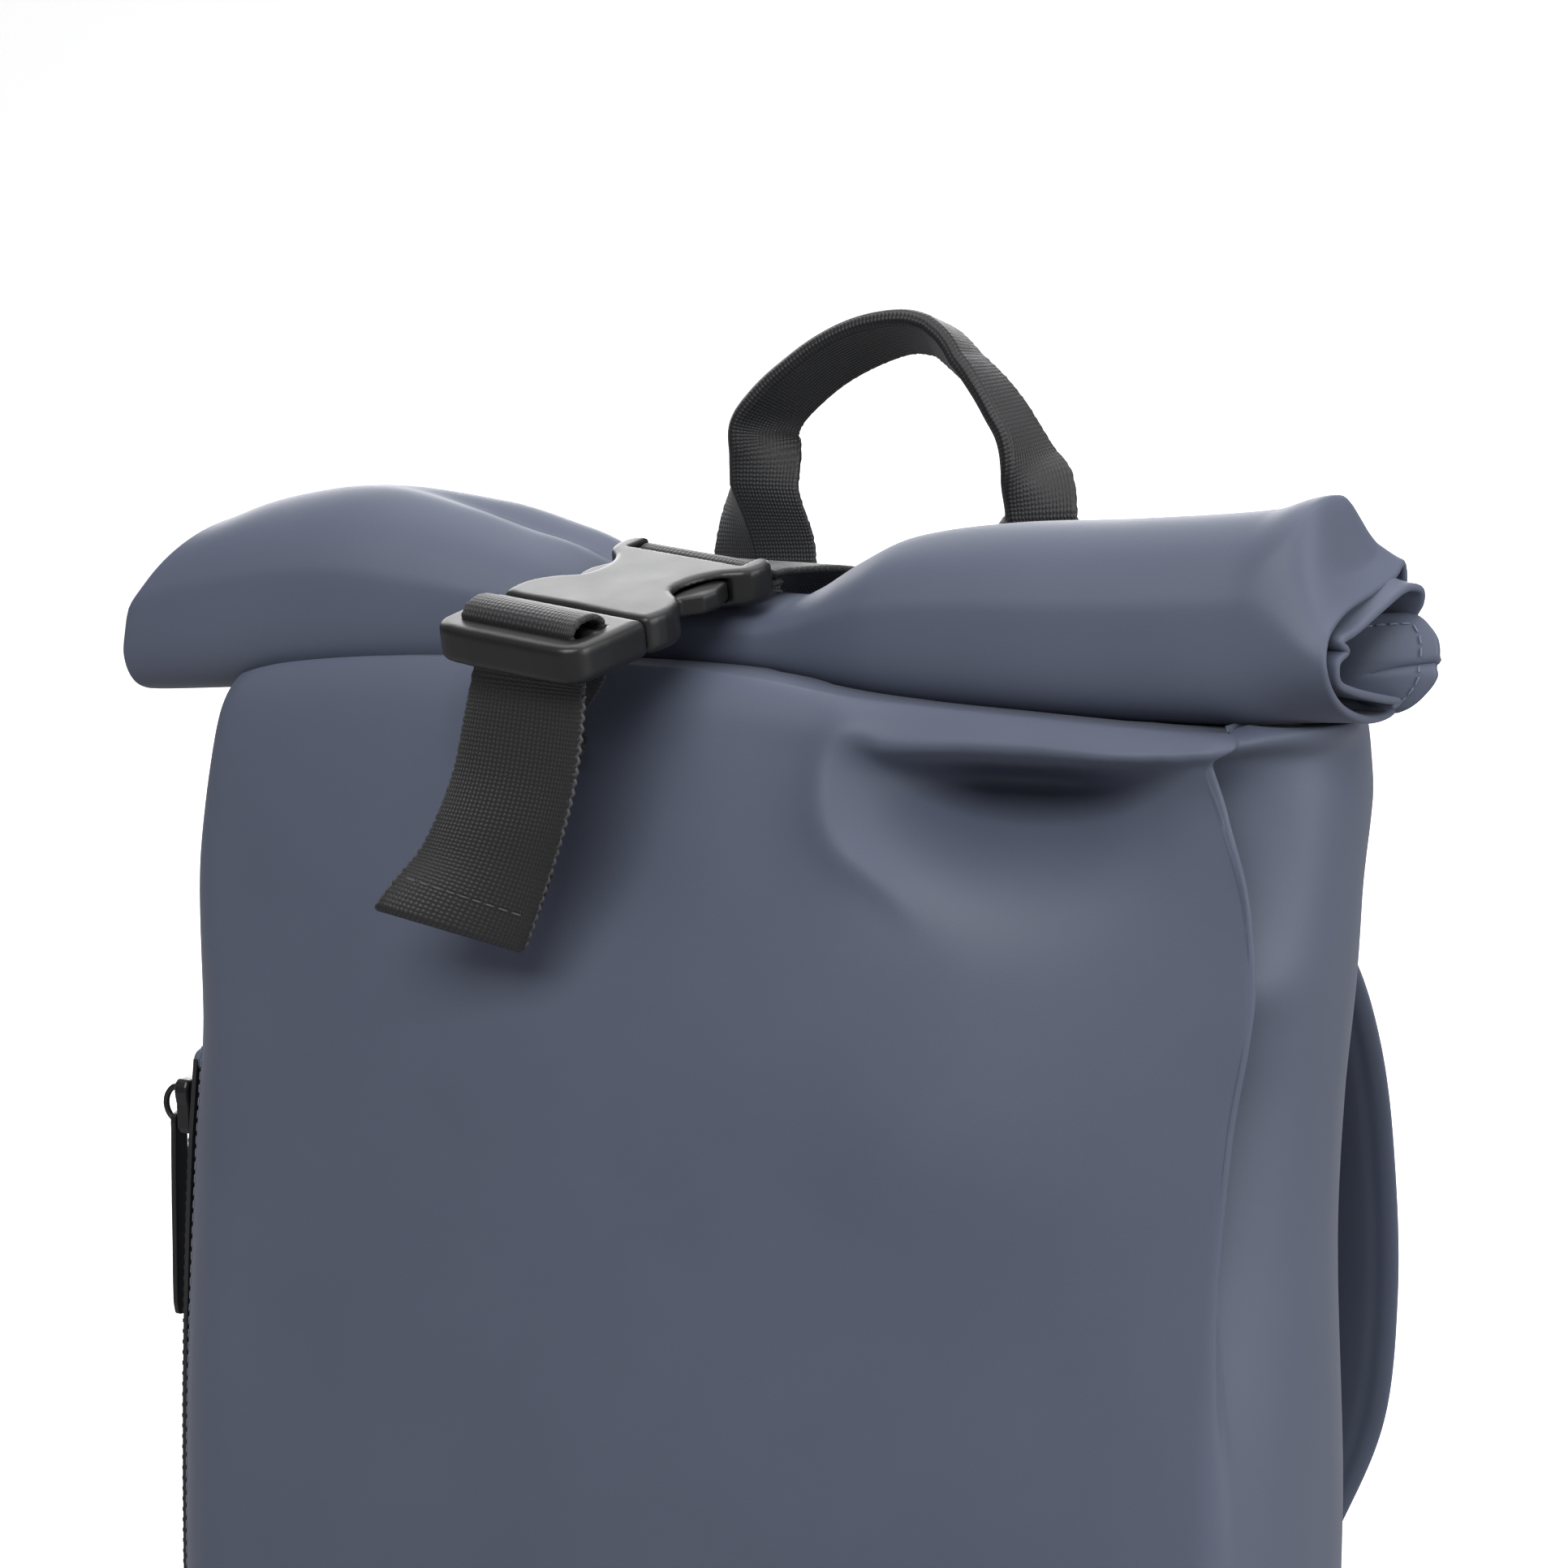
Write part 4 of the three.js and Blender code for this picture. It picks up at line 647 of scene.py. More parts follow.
# The buckle: a side-release buckle moulded in black plastic with a fine grain. The plug's frame hangs in front and
# the socket lies over the pinched roll.
plastic = Finish("moulded_plastic")
plastic_place = plastic.add("TexCoord", out=3)
plastic_grain = plastic.add("TexNoise", sockets={"Vector": plastic_place, "Scale": 1500.0, "Detail": 2.0})
plastic_wear = plastic.add("TexNoise", sockets={"Vector": plastic_place, "Scale": 90.0, "Detail": 3.0})
plastic_bump = plastic.add("Bump", sockets={"Strength": 0.25, "Distance": 0.00008, "Height": plastic_grain})
plastic_shader = plastic.add("BsdfPrincipled", sockets={
    "Base Color": (0.007, 0.007, 0.0075, 1),
    "Roughness": plastic_wear * 0.12 + 0.34,
    "Specular IOR Level": 0.5,
    "Normal": plastic_bump,
})
plastic.add("OutputMaterial", sockets={"Surface": plastic_shader})
plastic_pieces = {"buckle_frame": 0.42, "buckle_socket": 0.42, "ladder_lock_left": 0.4, "ladder_lock_right": 0.4}
for name, size in plastic_pieces.items():
    part = bpy.data.objects[name]
    part.data.materials.clear()
    part.data.materials.append(plastic.holder)
    skin = part.modifiers.new("skin", "REMESH")
    skin.mode, skin.voxel_size, skin.use_smooth_shade = "VOXEL", size * 0.001, True
    soft = part.modifiers.new("soft", "SMOOTH")
    soft.factor, soft.iterations = 0.5, 6

buckle_length, buckle_thickness, buckle_width = 76.0, 10.0, 50.0
webbing_width, webbing_thickness, bar_radius, clearance = 38.0, 1.8, 2.4, 0.3
buckle_tilt, buckle_roll = math.radians(14), math.radians(5)
rear_y = -roll_setback - 0.04 * roll_depth
rear_x = valley_shift + math.tan(strap_skew) * (rear_y + roll_setback)
valley_top = float(roll_limits(np.array(rear_x), rear_y)[0])
rear_lift = buckle_width / 4 * math.sin(buckle_roll) + buckle_thickness / 2 / math.cos(buckle_tilt)
rear_z = valley_top + clearance + rear_lift - 0.1
level_along = np.array([math.sin(strap_skew), math.cos(strap_skew), 0])
strap_along = level_along * math.cos(buckle_tilt) + np.array([0, 0, math.sin(buckle_tilt)])
level_across = np.array([math.cos(strap_skew), -math.sin(strap_skew), 0])
strap_across = level_across * math.cos(buckle_roll) - np.cross(level_across, strap_along) * math.sin(buckle_roll)
strap_out = np.cross(strap_across, strap_along)
buckle_front = np.array([rear_x, rear_y, rear_z]) - buckle_length * strap_along


def from_buckle(along_it, out, across=0.0):
    """A place given along the strap from the frame's front, outwards from the pack and across the strap."""
    along_it, out = np.asarray(along_it)[..., None], np.asarray(out)[..., None]
    return buckle_front + along_it * strap_along + out * strap_out + across * strap_across


# Webbing: black woven polyester ribbon, 38 mm wide, with a raised plain weave and lumpy side edges.
webbing = Finish("black_webbing")
weave_place = webbing.add("UVMap", {"uv_map": "UVMap"})
weave_run = webbing.add("SeparateXYZ", sockets={0: weave_place}, out=0)
weave_side = webbing.add("SeparateXYZ", sockets={0: weave_place}, out=1)
weave_rib = weave_side.wave(1.9) * weave_side.wave(1.9)
weave_sway = weave_side.wave(1.9) * 0.06
weave_pick = (weave_run + weave_sway).wave(1.12) * 0.3 + 0.7
weave_lift = (weave_rib * 0.75 + 0.25) * weave_pick
weave_fuzz = webbing.add("TexNoise", sockets={"Vector": weave_place, "Scale": 1.4, "Detail": 3.0})
# The weave's colour follows its relief: painted highlight on the raised threads and painted shade in the grooves
# between them, with a little random tone from the fuzz noise.
weave_relief_light_share = weave_lift * 0.75 + weave_fuzz * 0.16 - 0.02
weave_colour_with_painted_relief_light = webbing.grey_mix(weave_relief_light_share, (0.002, 0.002, 0.0025), (0.026, 0.026, 0.028))
weave_height = weave_lift + weave_fuzz * 0.1
weave_bump = webbing.add("Bump", sockets={"Strength": 0.75, "Distance": 0.0003, "Height": weave_height})
webbing_shader = webbing.add("BsdfPrincipled", sockets={
    "Base Color": weave_colour_with_painted_relief_light,
    "Roughness": 0.52,
    "Specular IOR Level": 0.5,
    "Sheen Weight": 0.06,
    "Normal": weave_bump,
})
webbing.add("OutputMaterial", sockets={"Surface": webbing_shader})


def smooth_rows(rows, count):
    """Rows of numbers read at evenly spaced runs along the line through their first three columns."""
    rows = np.asarray(rows, float)
    run = np.concatenate([[0], np.cumsum(np.linalg.norm(np.diff(rows[:, :3], axis=0), axis=1))])
    return along(np.column_stack([run, rows]), np.linspace(0, run[-1], count))


def ribbon(name, node, middle, thickness=webbing_thickness, width=webbing_width):
    """A woven ribbon in place of a CAD node, round a grid of middle points with rows along it and columns across it.
    Its side edges swell and shrink as the weft turns back there."""
    run = np.cumsum(np.linalg.norm(np.diff(middle[:, middle.shape[1] // 2], axis=0, prepend=middle[:1, 0]), axis=-1))
    run = (run - run[0])[:, None]
    side = np.linspace(-1, 1, middle.shape[1])[None]
    outwards = middle[:, -1:] - middle[:, :1]
    outwards = outwards / np.maximum(np.linalg.norm(outwards, axis=-1, keepdims=True), 1e-9)
    lumps = (0.16 * np.sin(run * 2 * np.pi / 2.3 + side) + 0.1 * np.sin(run * 2 * np.pi / 3.7)) * side**15
    middle = middle + lumps[..., None] * outwards
    points, faces = rounded_sheet(middle, thickness)
    uv = np.stack(np.broadcast_arrays(run + 0 * side, side * width / 2 + 0 * run), -1)
    made = put_mesh(name, points, faces, webbing, uv=np.concatenate([uv, uv]))
    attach(made, "pack")
    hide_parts(node)


def flat_band(rows, count, columns=44):
    """The middle grid of a band from rows of centre, across direction and width, with closer columns at its edges."""
    rows = smooth_rows(rows, count)
    across = rows[:, 3:6] / np.linalg.norm(rows[:, 3:6], axis=1, keepdims=True)
    side = np.sin(np.linspace(-1, 1, columns) * np.pi / 2 * 0.985) / np.sin(np.pi / 2 * 0.985)
    return rows[:, None, :3] + (side[None, :, None] * rows[:, None, 6:7] / 2) * across[:, None]


def panel_y(x, z, side):
    """Y of the bag's front (-1) or back (1) panel at a place across and a height."""
    height = np.asarray(z, float) / shoulder_height
    column = np.where(np.asarray(x) < 0, 0, 1)
    half = half_width * np.take_along_axis(along(bag_sections, height)[..., :2], column[..., None], -1)[..., 0]
    return bag_point(height, np.asarray(x) / half, np.full_like(height, side))[..., 1]


def row(centre, across, width=webbing_width):
    return [*centre, *across, width]


# The front strap starts under the frame on the front panel, loops over the middle bar and hangs as a loose tail,
# whose last 20 mm are folded back behind and sewn.
# Columns: x, y, z of the tail's left edge, then of its right edge
tail_edges = np.array([
    [-42.0, -76.0, 383, -4.0, -86.5, 383],
    [-43.3, -77.0, 375, -5.0, -86.0, 374],
    [-45.0, -79.5, 362, -7.5, -85.3, 361],
    [-47.5, -83.5, 351, -11.5, -84.2, 348.5],
    [-51.0, -87.0, 342, -17.0, -82.0, 336],
    [-55.5, -91.5, 335, -22.5, -80.0, 324],
    [-58.8, -94.5, 329.5, -25.5, -78.5, 318.5],
])
tail_left, tail_right = tail_edges[:, :3], tail_edges[:, 3:]
tail_width = np.linalg.norm(tail_right - tail_left, axis=1)
tail_rows = [row((a + b) / 2, (b - a) / w, w) for a, b, w in zip(tail_left, tail_right, tail_width)]
tail_fine = smooth_rows(np.array(tail_rows), 140)
tail_way = np.gradient(tail_fine[:, :3], axis=0)
tail_way /= np.linalg.norm(tail_way, axis=1, keepdims=True)
tail_across = tail_fine[:, 3:6] / np.linalg.norm(tail_fine[:, 3:6], axis=1, keepdims=True)
tail_behind = np.cross(tail_way, tail_across)
tail_behind *= np.sign(tail_behind[:, 1:2]) / np.linalg.norm(tail_behind, axis=1, keepdims=True)
fold_gap = webbing_thickness + 1.5
fold_rows = [
    row(
        tail_fine[-1, :3]
        + (tail_way[-1] * math.sin(t) + tail_behind[-1] * (1 - math.cos(t))) * fold_gap / 2,
        tail_across[-1],
        tail_fine[-1, 6],
    )
    for t in np.radians([30, 60, 90, 120, 150, 180])
]
hem_rows = [
    row(tail_fine[k, :3] + tail_behind[k] * (fold_gap + 0.3), tail_across[k], tail_fine[k, 6] - 0.4)
    for k in (-6, -14, -24, -34, -42)
]
leg_rows = [
    row([x, float(panel_y(x - 1.5, z, -1)) - 2.0, z], (1, 0.02, -0.1), 33)
    for x, z in ((-39.0, 361.0), (-38.0, 365.5), (-37.0, 370.0))
]
front_rows = [
    *leg_rows,
    row([-36.5, -58.5, 375.0], (1, -0.15, -0.1), 36),
    row(from_buckle(17.3, -buckle_thickness / 2 - 3, -0.5), strap_across, 37.5),
    row(from_buckle(17.3, -2.0), strap_across),
    row(from_buckle(17.6, 2.6), strap_across),
    *[
        row(from_buckle(12.6 + 5.6 * math.cos(t), 5.0 + 3.4 * math.sin(t)), strap_across)
        for t in np.radians(np.linspace(8, 172, 9))
    ],
    row(from_buckle(7.7, 3.4), strap_across),
    row(from_buckle(9.0, 0.5), strap_across),
    row(from_buckle(9.4, -3.0), strap_across),
    row(from_buckle(9.6, -buckle_thickness / 2 - 1.0), strap_across),
    *tail_rows,
    *fold_rows,
    *hem_rows,
]
ribbon("front_strap", "closure_strap_front", flat_band(front_rows, 420))

black_thread = Finish("black_thread")
black_thread_shader = black_thread.add(
    "BsdfPrincipled", sockets={"Base Color": (0.05, 0.05, 0.054, 1), "Roughness": 0.5}
)
black_thread.add("OutputMaterial", sockets={"Surface": black_thread_shader})
tail_line = (
    tail_fine[-19, :3]
    - tail_behind[-19] * (webbing_thickness / 2 + 0.12)
    + np.linspace(-16.5, 14, 40)[:, None] * tail_across[-19]
)
tail_stitches = stitches("tail_stitches", *path_places(tail_line, 3.5), black_thread, 2.7, 0.6)
for name, side, chunk in (("right", 1, 1.05), ("left", -1, 0.75)):
    edge_line = tail_fine[:, :3] + side * (tail_fine[:, 6:7] / 2 - 0.2) * tail_across
    loops, loop_way = path_places(edge_line, 1.3 * chunk)
    loop_way = loop_way / np.linalg.norm(loop_way, axis=1, keepdims=True)
    tilt = np.where(np.arange(len(loops)) % 2 == 0, 0.6, -0.6)[:, None]
    loop_way = loop_way + tilt * np.cross(loop_way, [0.2, -0.97, 0.1])
    edge_loops = stitches("tail_edge_" + name, loops, loop_way, black_thread, 2.2 * chunk, chunk)

# The rear strap is sewn to the back panel, comes over the roll between the handle's legs and turns round the
# socket's bar; its end lies doubled beneath.
loop_radius = bar_radius + clearance + webbing_thickness / 2
rear_bar_y, rear_bar_z = buckle_length - bar_radius - 0.4, -0.4
over = valley_top + 3 * clearance + webbing_thickness / 2
doubled = webbing_thickness + clearance
crest = -roll_setback + 0.18 * roll_depth
strap_seat = 1.3


def line_x(y):
    return valley_shift + math.tan(strap_skew) * (y + roll_setback)


def turn_round(bar_y, bar_z, start, end, count):
    """Rows of a band that turns round a bar, angles in degrees from the strap's direction, anticlockwise."""
    angle = np.radians(np.linspace(start, end, count))
    turned = from_buckle(bar_y + loop_radius * np.cos(angle), bar_z + loop_radius * np.sin(angle))
    return [row(centre, strap_across) for centre in turned]


def back_row(z):
    """A row of the rear strap where it is sewn flat to the back panel."""
    x = line_x(float(panel_y(line_x(0.0), z, 1)))
    return row([x, float(panel_y(x, z, 1)) + strap_seat, z], (1, 0, 0))


def over_row(y, rise):
    return row([line_x(y), y, over + rise], level_across)


rear_rows = [
    back_row(shoulder_height * 0.84),
    back_row(shoulder_height * 0.87),
    back_row(shoulder_height * 0.9),
    back_row(shoulder_height * 0.95),
    row([line_x(39), float(panel_y(line_x(39), shoulder_height * 0.97, 1)) - 1, shoulder_height + 3.5], (1, -0.1, 0)),
    row([line_x(30), 31.0, over - 9], (1, -0.15, 0)),
    over_row(22, doubled - 2.5),
    over_row(10, doubled + 0.6),
    over_row(crest, doubled + 1.2),
    row(from_buckle(rear_bar_y + 8, rear_bar_z - bar_radius + 1.4), strap_across),
    *turn_round(rear_bar_y, rear_bar_z, 70, 270, 8),
    row(from_buckle(rear_bar_y + 5, rear_bar_z - loop_radius - 0.1), strap_across),
    row(from_buckle(rear_bar_y + 11, rear_bar_z - loop_radius - 0.5), strap_across),
]
ribbon("rear_strap", "closure_strap_rear", flat_band(rear_rows, 260))

# The grab handle: one length of webbing sewn flat to the back panel at both ends and folded in half along its grip.
# The fold faces front and outwards on the left and turns in towards the right.
# Columns: x and z of the handle's outer edge and of its inner edge as seen from the front, y, turn of the fold from
# outwards to the front in degrees, half the opening between the two wings in degrees
handle_rows = np.array([
    [-42.0, 346, -10.5, 346, 54.5, 62, 90],
    [-42.0, 362, -10.5, 362, 53.5, 62, 90],
    [-42.0, 378, -10.5, 378, 54.0, 60, 90],
    [-41.6, 394, -10.7, 393, 56.0, 57, 87],
    [-41.3, 408, -11, 407, 58.0, 56, 80],
    [-41, 418, -11.8, 415, 58.5, 52, 70],
    [-39.5, 427, -13, 423, 58.5, 47, 56],
    [-37, 436, -15, 431, 58.5, 45, 40],
    [-34, 444, -18.5, 438.5, 58.5, 50, 26],
    [-28.5, 452, -17.5, 443, 58.5, 60, 17],
    [-20, 460, -11.5, 449, 58.5, 60, 9],
    [-8, 467.6, -3, 456, 58.5, 60, 5],
    [5, 472.5, 8, 462, 58.5, 65, 4],
    [17, 473.8, 18, 465.2, 58.5, 76, 6],
    [27, 471, 25.5, 464.5, 58.5, 90, 9],
    [36, 466.5, 31.5, 459, 58.5, 101, 8],
    [44, 460, 37, 452, 58.5, 110, 6],
    [50, 453.5, 41, 445.5, 58.5, 114, 7],
    [55.5, 445, 44.5, 440, 58.5, 112, 13],
    [60.5, 437, 46, 433, 58.5, 118, 21],
    [66, 430, 45.0, 427.5, 58.5, 132, 33],
    [70, 424, 42.8, 421, 58.5, 134, 48],
    [72.5, 416, 41.0, 413, 58.0, 126, 64],
    [73.0, 404, 40.8, 402, 56.8, 123, 78],
    [73.0, 390, 40.8, 389, 55.0, 121, 88],
    [73.0, 376, 40.8, 376, 54.0, 119, 90],
    [73.0, 362, 40.8, 362, 53.5, 117, 90],
    [73.0, 346, 40.8, 346, 54.5, 117, 90],
])
handle_table = np.column_stack([
    (handle_rows[:, 0] + handle_rows[:, 2]) / 2, handle_rows[:, 4], (handle_rows[:, 1] + handle_rows[:, 3]) / 2,
    handle_rows[:, 0] - handle_rows[:, 2], handle_rows[:, 1] - handle_rows[:, 3], handle_rows[:, 5], handle_rows[:, 6],
])
handle_path = smooth_rows(handle_table, 330)
handle_tangent = np.gradient(handle_path[:, :3], axis=0)
handle_tangent /= np.linalg.norm(handle_tangent, axis=1, keepdims=True)
outer_way = np.column_stack([handle_path[:, 3], 0 * handle_path[:, 3], handle_path[:, 4]])
outer_way /= np.linalg.norm(outer_way, axis=1, keepdims=True)
fold_turn = np.radians(handle_path[:, 5:6])
fold_way = np.cos(fold_turn) * outer_way + np.sin(fold_turn) * towards_camera
fold_way -= np.sum(fold_way * handle_tangent, axis=1, keepdims=True) * handle_tangent
fold_way /= np.linalg.norm(fold_way, axis=1, keepdims=True)
spread_way = np.cross(handle_tangent, fold_way)
opening = np.radians(np.clip(handle_path[:, 6:7], 5, 90))
strip = np.linspace(-webbing_width / 2, webbing_width / 2, 76)[None]
closing = np.pi / 2 - opening
bend_run = 1.5 * closing + 1e-3
heading = -closing * np.clip(strip / bend_run, -1, 1)
step_across = webbing_width / (strip.size - 1)
spread = np.cumsum(np.cos(heading), axis=1) * step_across
depth = np.cumsum(np.sin(heading), axis=1) * step_across
spread -= (spread[:, 37:38] + spread[:, 38:39]) / 2
depth -= (depth.max(axis=1, keepdims=True) + depth.min(axis=1, keepdims=True)) / 2
handle_offset = spread[..., None] * spread_way[:, None] + depth[..., None] * fold_way[:, None]
seen_way = outer_way - (outer_way @ towards_camera)[:, None] * towards_camera
seen_way /= np.linalg.norm(seen_way, axis=1, keepdims=True)
seen = np.einsum("ijk,ik->ij", handle_offset, seen_way)
drift = (seen.max(axis=1) + seen.min(axis=1)) / 2
handle_grid = handle_path[:, None, :3] + handle_offset - (drift[:, None] * seen_way)[:, None]
ribbon("grab_handle_webbing", "grab_handle", handle_grid)

# The handle's ends and the rear strap's end are each closed by a box of stitches with a cross.
thread_lift, box_top = 0.3, 14.0


def stitch_box(name, left, right, bottom, top, face_y):
    """A rectangle and both its diagonals, sewn through a band; face_y gives y of the band's face at a height."""
    x = np.array([left, right, right, left, left, right, left, right])
    z = np.array([bottom, bottom, top, top, bottom, top, top, bottom])
    share = np.linspace(0, 1, 60)
    order = np.concatenate([share + k for k in (0, 1, 2, 3, 4, 6)])
    sewn_x, sewn_z = np.interp(order, np.arange(8), x), np.interp(order, np.arange(8), z)
    path = np.stack([sewn_x, face_y(sewn_z), sewn_z], -1)
    box = stitches(name, *path_places(path, 3.1), black_thread, 2.3, 0.55)


def handle_face(z):
    """Y of the handle's outer face along its sewn ends, which lean in by 1 mm over 16 mm of height."""
    low_z, low_y = handle_rows[0, 1], handle_rows[0, 4]
    return low_y - (z - low_z) / 16 + webbing_thickness / 2


def rear_strap_face(z):
    return panel_y(line_x(55.0) + 0 * z, z, 1) + strap_seat + webbing_thickness / 2 + thread_lift


stitch_box("handle_box_left", -39, -14, 348, 348 + box_top, handle_face)
stitch_box("handle_box_right", 44, 70, 348, 348 + box_top, handle_face)
stitch_box("rear_strap_box", 3.5, 34, 319.5, 335, rear_strap_face)

# The side zip: woven tape with moulded teeth, a slider with a wire bail and a long pull. Its top end is tacked.
zip_black = Finish("zip_black")
zip_shader = zip_black.add("BsdfPrincipled", sockets={"Base Color": (0.01, 0.01, 0.011, 1), "Roughness": 0.3})
zip_black.add("OutputMaterial", sockets={"Surface": zip_shader})
zip_tape = Finish("zip_tape")
zip_place = zip_tape.add("TexCoord", out=3)
zip_weave = zip_tape.add("TexNoise", sockets={"Vector": zip_place, "Scale": 1800.0})
zip_bump = zip_tape.add("Bump", sockets={"Strength": 0.4, "Distance": 0.0002, "Height": zip_weave})
zip_tape_shader = zip_tape.add(
    "BsdfPrincipled", sockets={"Base Color": (0.012, 0.012, 0.014, 1), "Roughness": 0.7, "Normal": zip_bump}
)
zip_tape.add("OutputMaterial", sockets={"Surface": zip_tape_shader})
for name, finish in (("side_zip", zip_tape), ("zip_slider", zip_black), ("zip_pull", zip_black)):
    part = bpy.data.objects[name]
    part.data.materials.clear()
    part.data.materials.append(finish.holder)
zip_top, zip_length, zip_thickness, zip_share, tooth_pitch = 272.0, 212.0, 1.2, -0.62, 1.5


def wall_place(z, share, out):
    """A place on the left wall at a height, share of the way round it, and a distance out from the cloth."""
    fore, here, aft = (bag_point(z / shoulder_height, -1.0, share + t) for t in (-0.09, 0.0, 0.09))
    x = np.minimum(here[..., 0], (fore[..., 0] + aft[..., 0]) / 2) - 2 * clearance - out
    return np.stack([x, here[..., 1], z], -1)


tooth_z = np.arange(zip_top - 24, zip_top - zip_length + 4, -tooth_pitch)
tooth_middle = wall_place(tooth_z, zip_share, zip_thickness + 0.45)
tooth_middle[:, 1] += np.where(np.arange(len(tooth_z)) % 2 == 0, 0.9, -0.9)
square = np.array([[-1, -1], [1, -1], [1, 1], [-1, 1]])
box_corners = np.concatenate([np.insert(square, 2, up, axis=1) for up in (-1, 1)])
tooth_points = tooth_middle[:, None] + box_corners[None] * np.array([0.75, 1.7, 0.55])
box_faces = np.array([[0, 3, 2, 1], [4, 5, 6, 7], [0, 1, 5, 4], [1, 2, 6, 5], [2, 3, 7, 6], [3, 0, 4, 7]])
tooth_faces = (np.arange(len(tooth_z))[:, None, None] * len(box_corners) + box_faces[None]).reshape(-1, 4)
teeth = put_mesh("zip_teeth", tooth_points, tooth_faces, zip_black, smooth=False)
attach(teeth, "pack")

tack_size = np.array([2.3, 4.6, 3.4])
tack_angles = np.linspace(0, np.pi, 13), np.linspace(0, 2 * np.pi, 24, endpoint=False)
tack_fall, tack_round = np.meshgrid(*tack_angles, indexing="ij")
tack_way = [np.sin(tack_fall) * np.cos(tack_round), np.sin(tack_fall) * np.sin(tack_round), np.cos(tack_fall)]
tack_points = np.stack(tack_way, -1) * tack_size + wall_place(np.array(zip_top - 2.5), zip_share, 0.2)
tack = put_mesh("zip_tack_cloth", tack_points, grid_faces(*tack_fall.shape, wrap=True), cloth, merge=0.01)
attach(tack, "pack")
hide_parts("zip_end_tack")

seam_z = np.linspace(zip_top + 4, zip_top - zip_length + 4, 200)
seam_line = bag_point(seam_z / shoulder_height, -1.0, -0.87) + [-0.15, -0.1, 0]
zip_stitches = stitches("zip_seam_stitches", *path_places(seam_line, 3.6), thread, 2.5, 0.38)

# The shoulder straps: padded cloth with a bound edge, sewn to the back panel below the roll. Each ends in a ladder
# lock, through which thinner webbing runs to the bag's lower corner.
# Columns: height, place across and distance off the back panel as shares, turn outwards and lean in degrees, share of
# the width and of the thickness
strap_bends = np.array([
    [0.895, 0.44, 0.01, 0, -14, 0.78, 0.75],
    [0.865, 0.5, 0.09, 0, -24, 0.9, 0.95],
    [0.83, 0.6, 0.25, 1, -30, 1, 1],
    [0.785, 0.71, 0.42, 8, -24, 1, 1],
    [0.73, 0.765, 0.52, 16, -12, 1, 1],
    [0.64, 0.79, 0.6, 18, -6, 1, 1],
    [0.55, 0.8, 0.6, 18, -1, 1, 1],
    [0.46, 0.785, 0.55, 16, 3, 0.98, 1],
    [0.37, 0.755, 0.42, 10, 2, 0.68, 0.9],
])
pad_width, pad_thickness, pad_count, pad_ring = 56.0, 9.0, 150, 72
lower_width, lower_thickness, lock_gap, webbing_foot = 25.0, 1.6, 0.9, 34.0


def seat_y(x, z, width):
    """Y at which a flat band of a width lies on the back panel without entering it."""
    return float(np.max(panel_y(np.asarray(x + np.linspace(-0.5, 0.5, 5) * width), np.full(5, z), 1))) + clearance


def strap_rows(side):
    """Rows of a shoulder strap: centre, across direction, width and thickness."""
    rows = []
    for height, share, off, turn, lean, wide, thick in strap_bends:
        x, z = side * share * half_width, height * shoulder_height
        turn, lean = math.radians(turn), math.radians(lean)
        y = seat_y(x, z, pad_width * wide) + pad_thickness * thick / 2 + 0.2 + off * half_depth
        across = (math.cos(lean) * math.cos(turn), -side * math.cos(lean) * math.sin(turn), -side * math.sin(lean))
        rows.append([x, y, z, *across, pad_width * wide, pad_thickness * thick])
    return np.array(rows)


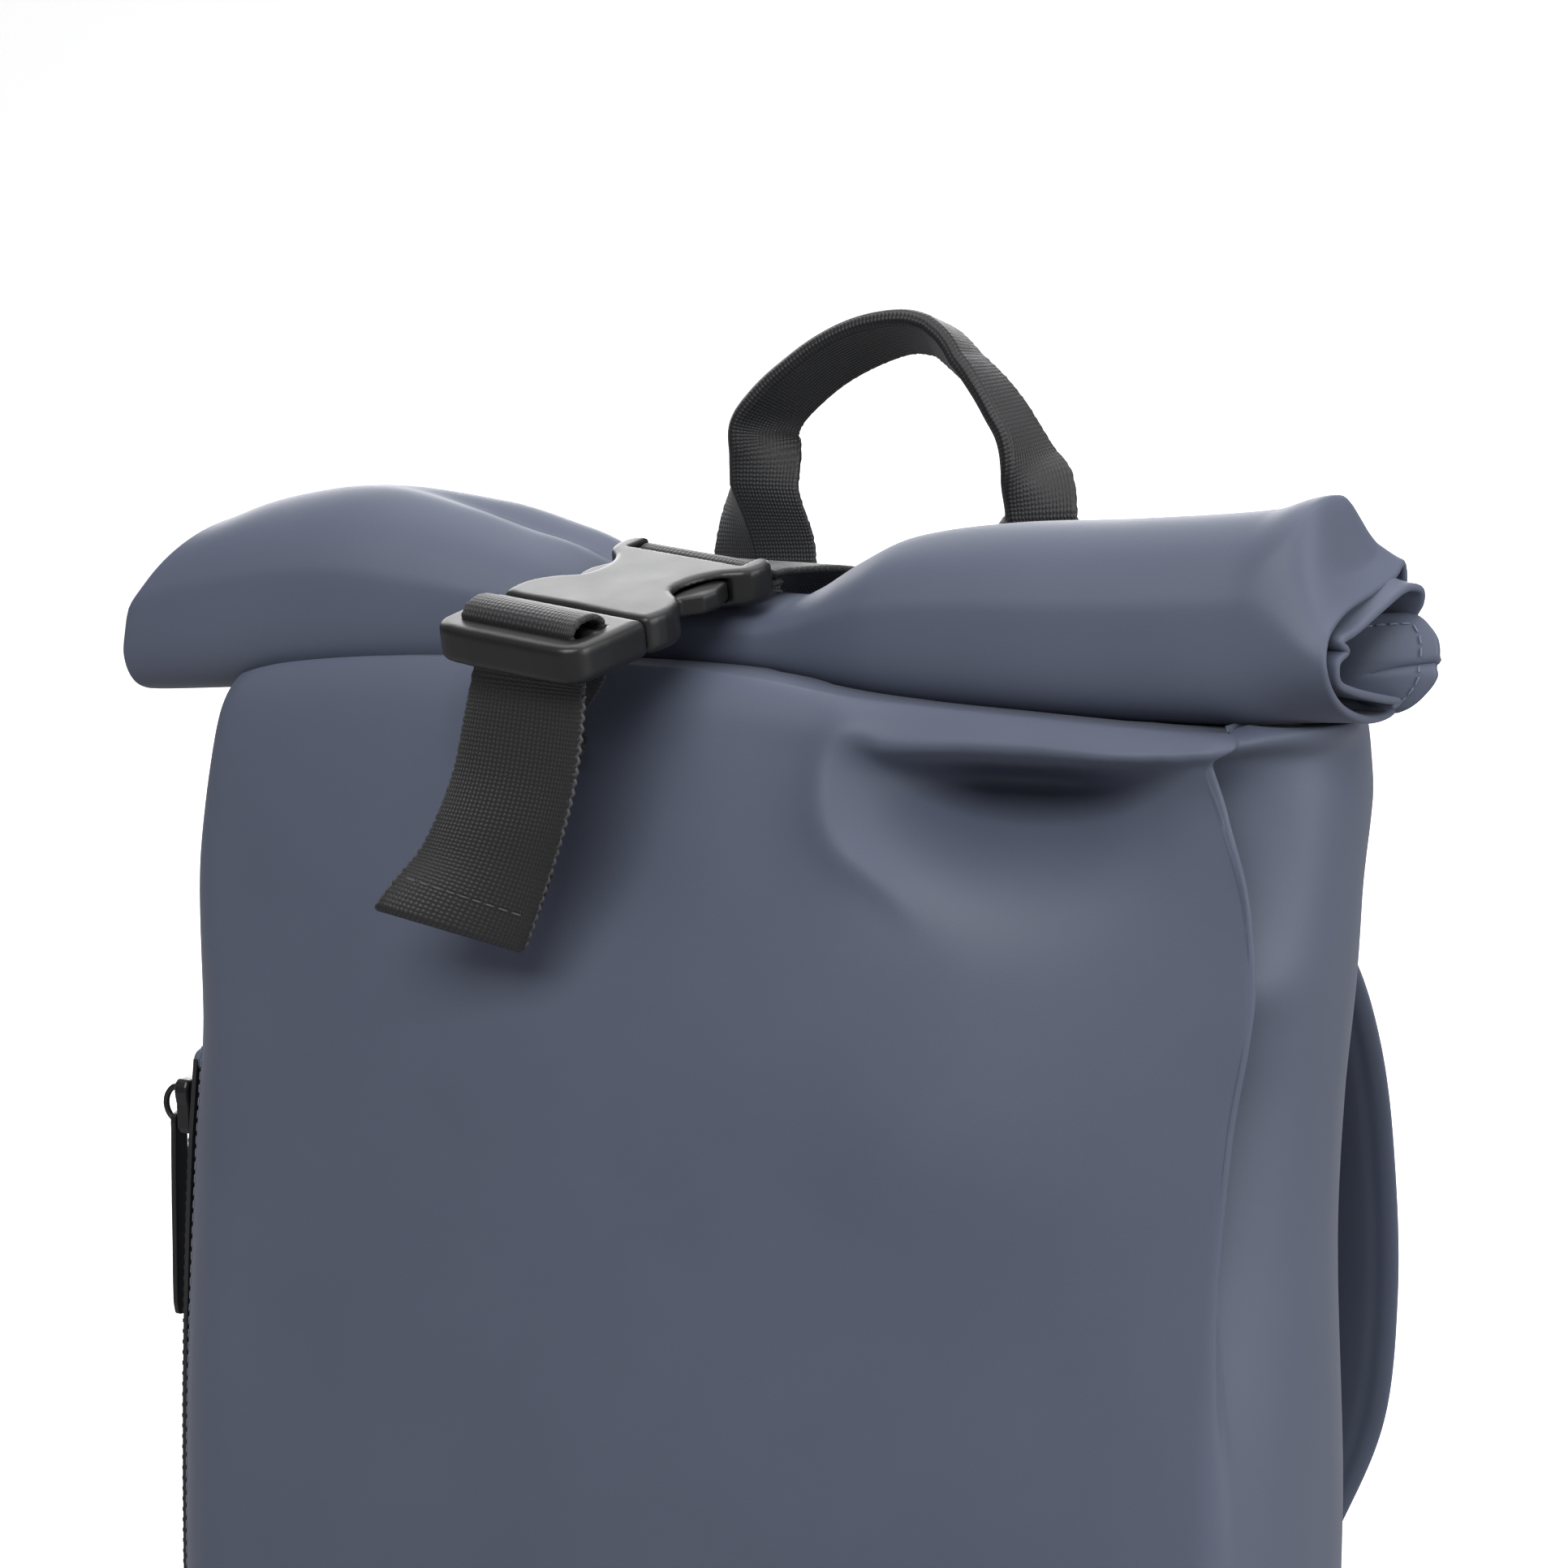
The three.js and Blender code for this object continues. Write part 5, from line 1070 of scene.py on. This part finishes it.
for name, side in (("left", -1), ("right", 1)):
    pad_path = smooth_rows(strap_rows(side), pad_count)
    pad_tangent = np.gradient(pad_path[:, :3], axis=0)
    pad_tangent /= np.linalg.norm(pad_tangent, axis=1, keepdims=True)
    pad_across = pad_path[:, 3:6] - np.sum(pad_path[:, 3:6] * pad_tangent, axis=1, keepdims=True) * pad_tangent
    pad_across /= np.linalg.norm(pad_across, axis=1, keepdims=True)
    pad_out = np.cross(pad_tangent, pad_across)
    angle = np.linspace(0, 2 * np.pi, pad_ring, endpoint=False)[None]
    wide = np.sign(np.cos(angle)) * np.abs(np.cos(angle)) ** 0.55
    crown = np.sign(np.sin(angle)) * (1 - np.abs(wide) ** 3.2) ** 0.62
    rim = 0.17 * ramp(0.86, 0.92, np.abs(wide)) * np.sign(np.sin(angle)) * (1 - np.abs(wide) ** 30) ** 0.5
    run = np.linspace(0, 1, pad_count)[:, None]
    ends = np.minimum(1, np.sqrt(np.clip(np.minimum(run, 1 - run) / 0.012, 0.02, 1)))
    height = np.maximum(np.abs(crown), np.abs(rim)) * np.sign(np.sin(angle)) * ends * pad_path[:, 7:8] / 2
    height = height * (1 - 0.12 * bell(np.abs(wide) - 0.8, 0.05))
    pad_points = (
        pad_path[:, None, :3]
        + (wide * pad_path[:, 6:7] / 2)[..., None] * pad_across[:, None]
        + height[..., None] * pad_out[:, None]
    )
    caps = [pad_path[k, None, None, :3].repeat(pad_ring, 1) for k in (0, -1)]
    pad_points = np.concatenate([caps[0], pad_points, caps[1]])
    pad_faces = grid_faces(pad_count + 2, pad_ring, wrap=True)
    pad = put_mesh("shoulder_pad_" + name, pad_points, pad_faces, cloth, merge=0.01)
    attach(pad, "pack")
    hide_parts("shoulder_strap_" + name)
    end_x, end_y, end_z = strap_rows(side)[-1, :3]
    lock_z = end_z - lock_gap - 6.4
    behind = lower_thickness / 2 + 2.5 + clearance
    foot_x = side * 0.84 * half_width
    foot_y = seat_y(foot_x, webbing_foot, lower_width) + lower_thickness / 2
    lower_rows = [
        row([x, y, z], (1, 0, 0), lower_width)
        for x, y, z in (
            (end_x, end_y + behind + 2, lock_z - 58),
            (end_x, end_y + behind + 1, lock_z - 30),
            (end_x, end_y + behind, lock_z - 11),
            (end_x, end_y + behind, lock_z + 1.2),
            (end_x, end_y + behind - 0.9, lock_z + 2.8),
            (end_x, end_y, lock_z + 3.0),
            (end_x, end_y - behind + 0.9, lock_z + 2.8),
            (end_x, end_y - behind, lock_z + 1.2),
            (end_x, end_y - behind - 1, lock_z - 11),
            (0.45 * end_x + 0.55 * foot_x, 0.38 * end_y + 0.62 * foot_y, 0.38 * lock_z + 0.62 * webbing_foot),
            (foot_x, foot_y + 0.2, webbing_foot + 14),
            (foot_x, foot_y + 0.2, webbing_foot - 14),
        )
    ]
    lower_grid = flat_band(lower_rows, 220, 30)
    ribbon("lower_strap_" + name, "lower_webbing_" + name, lower_grid, lower_thickness, lower_width)
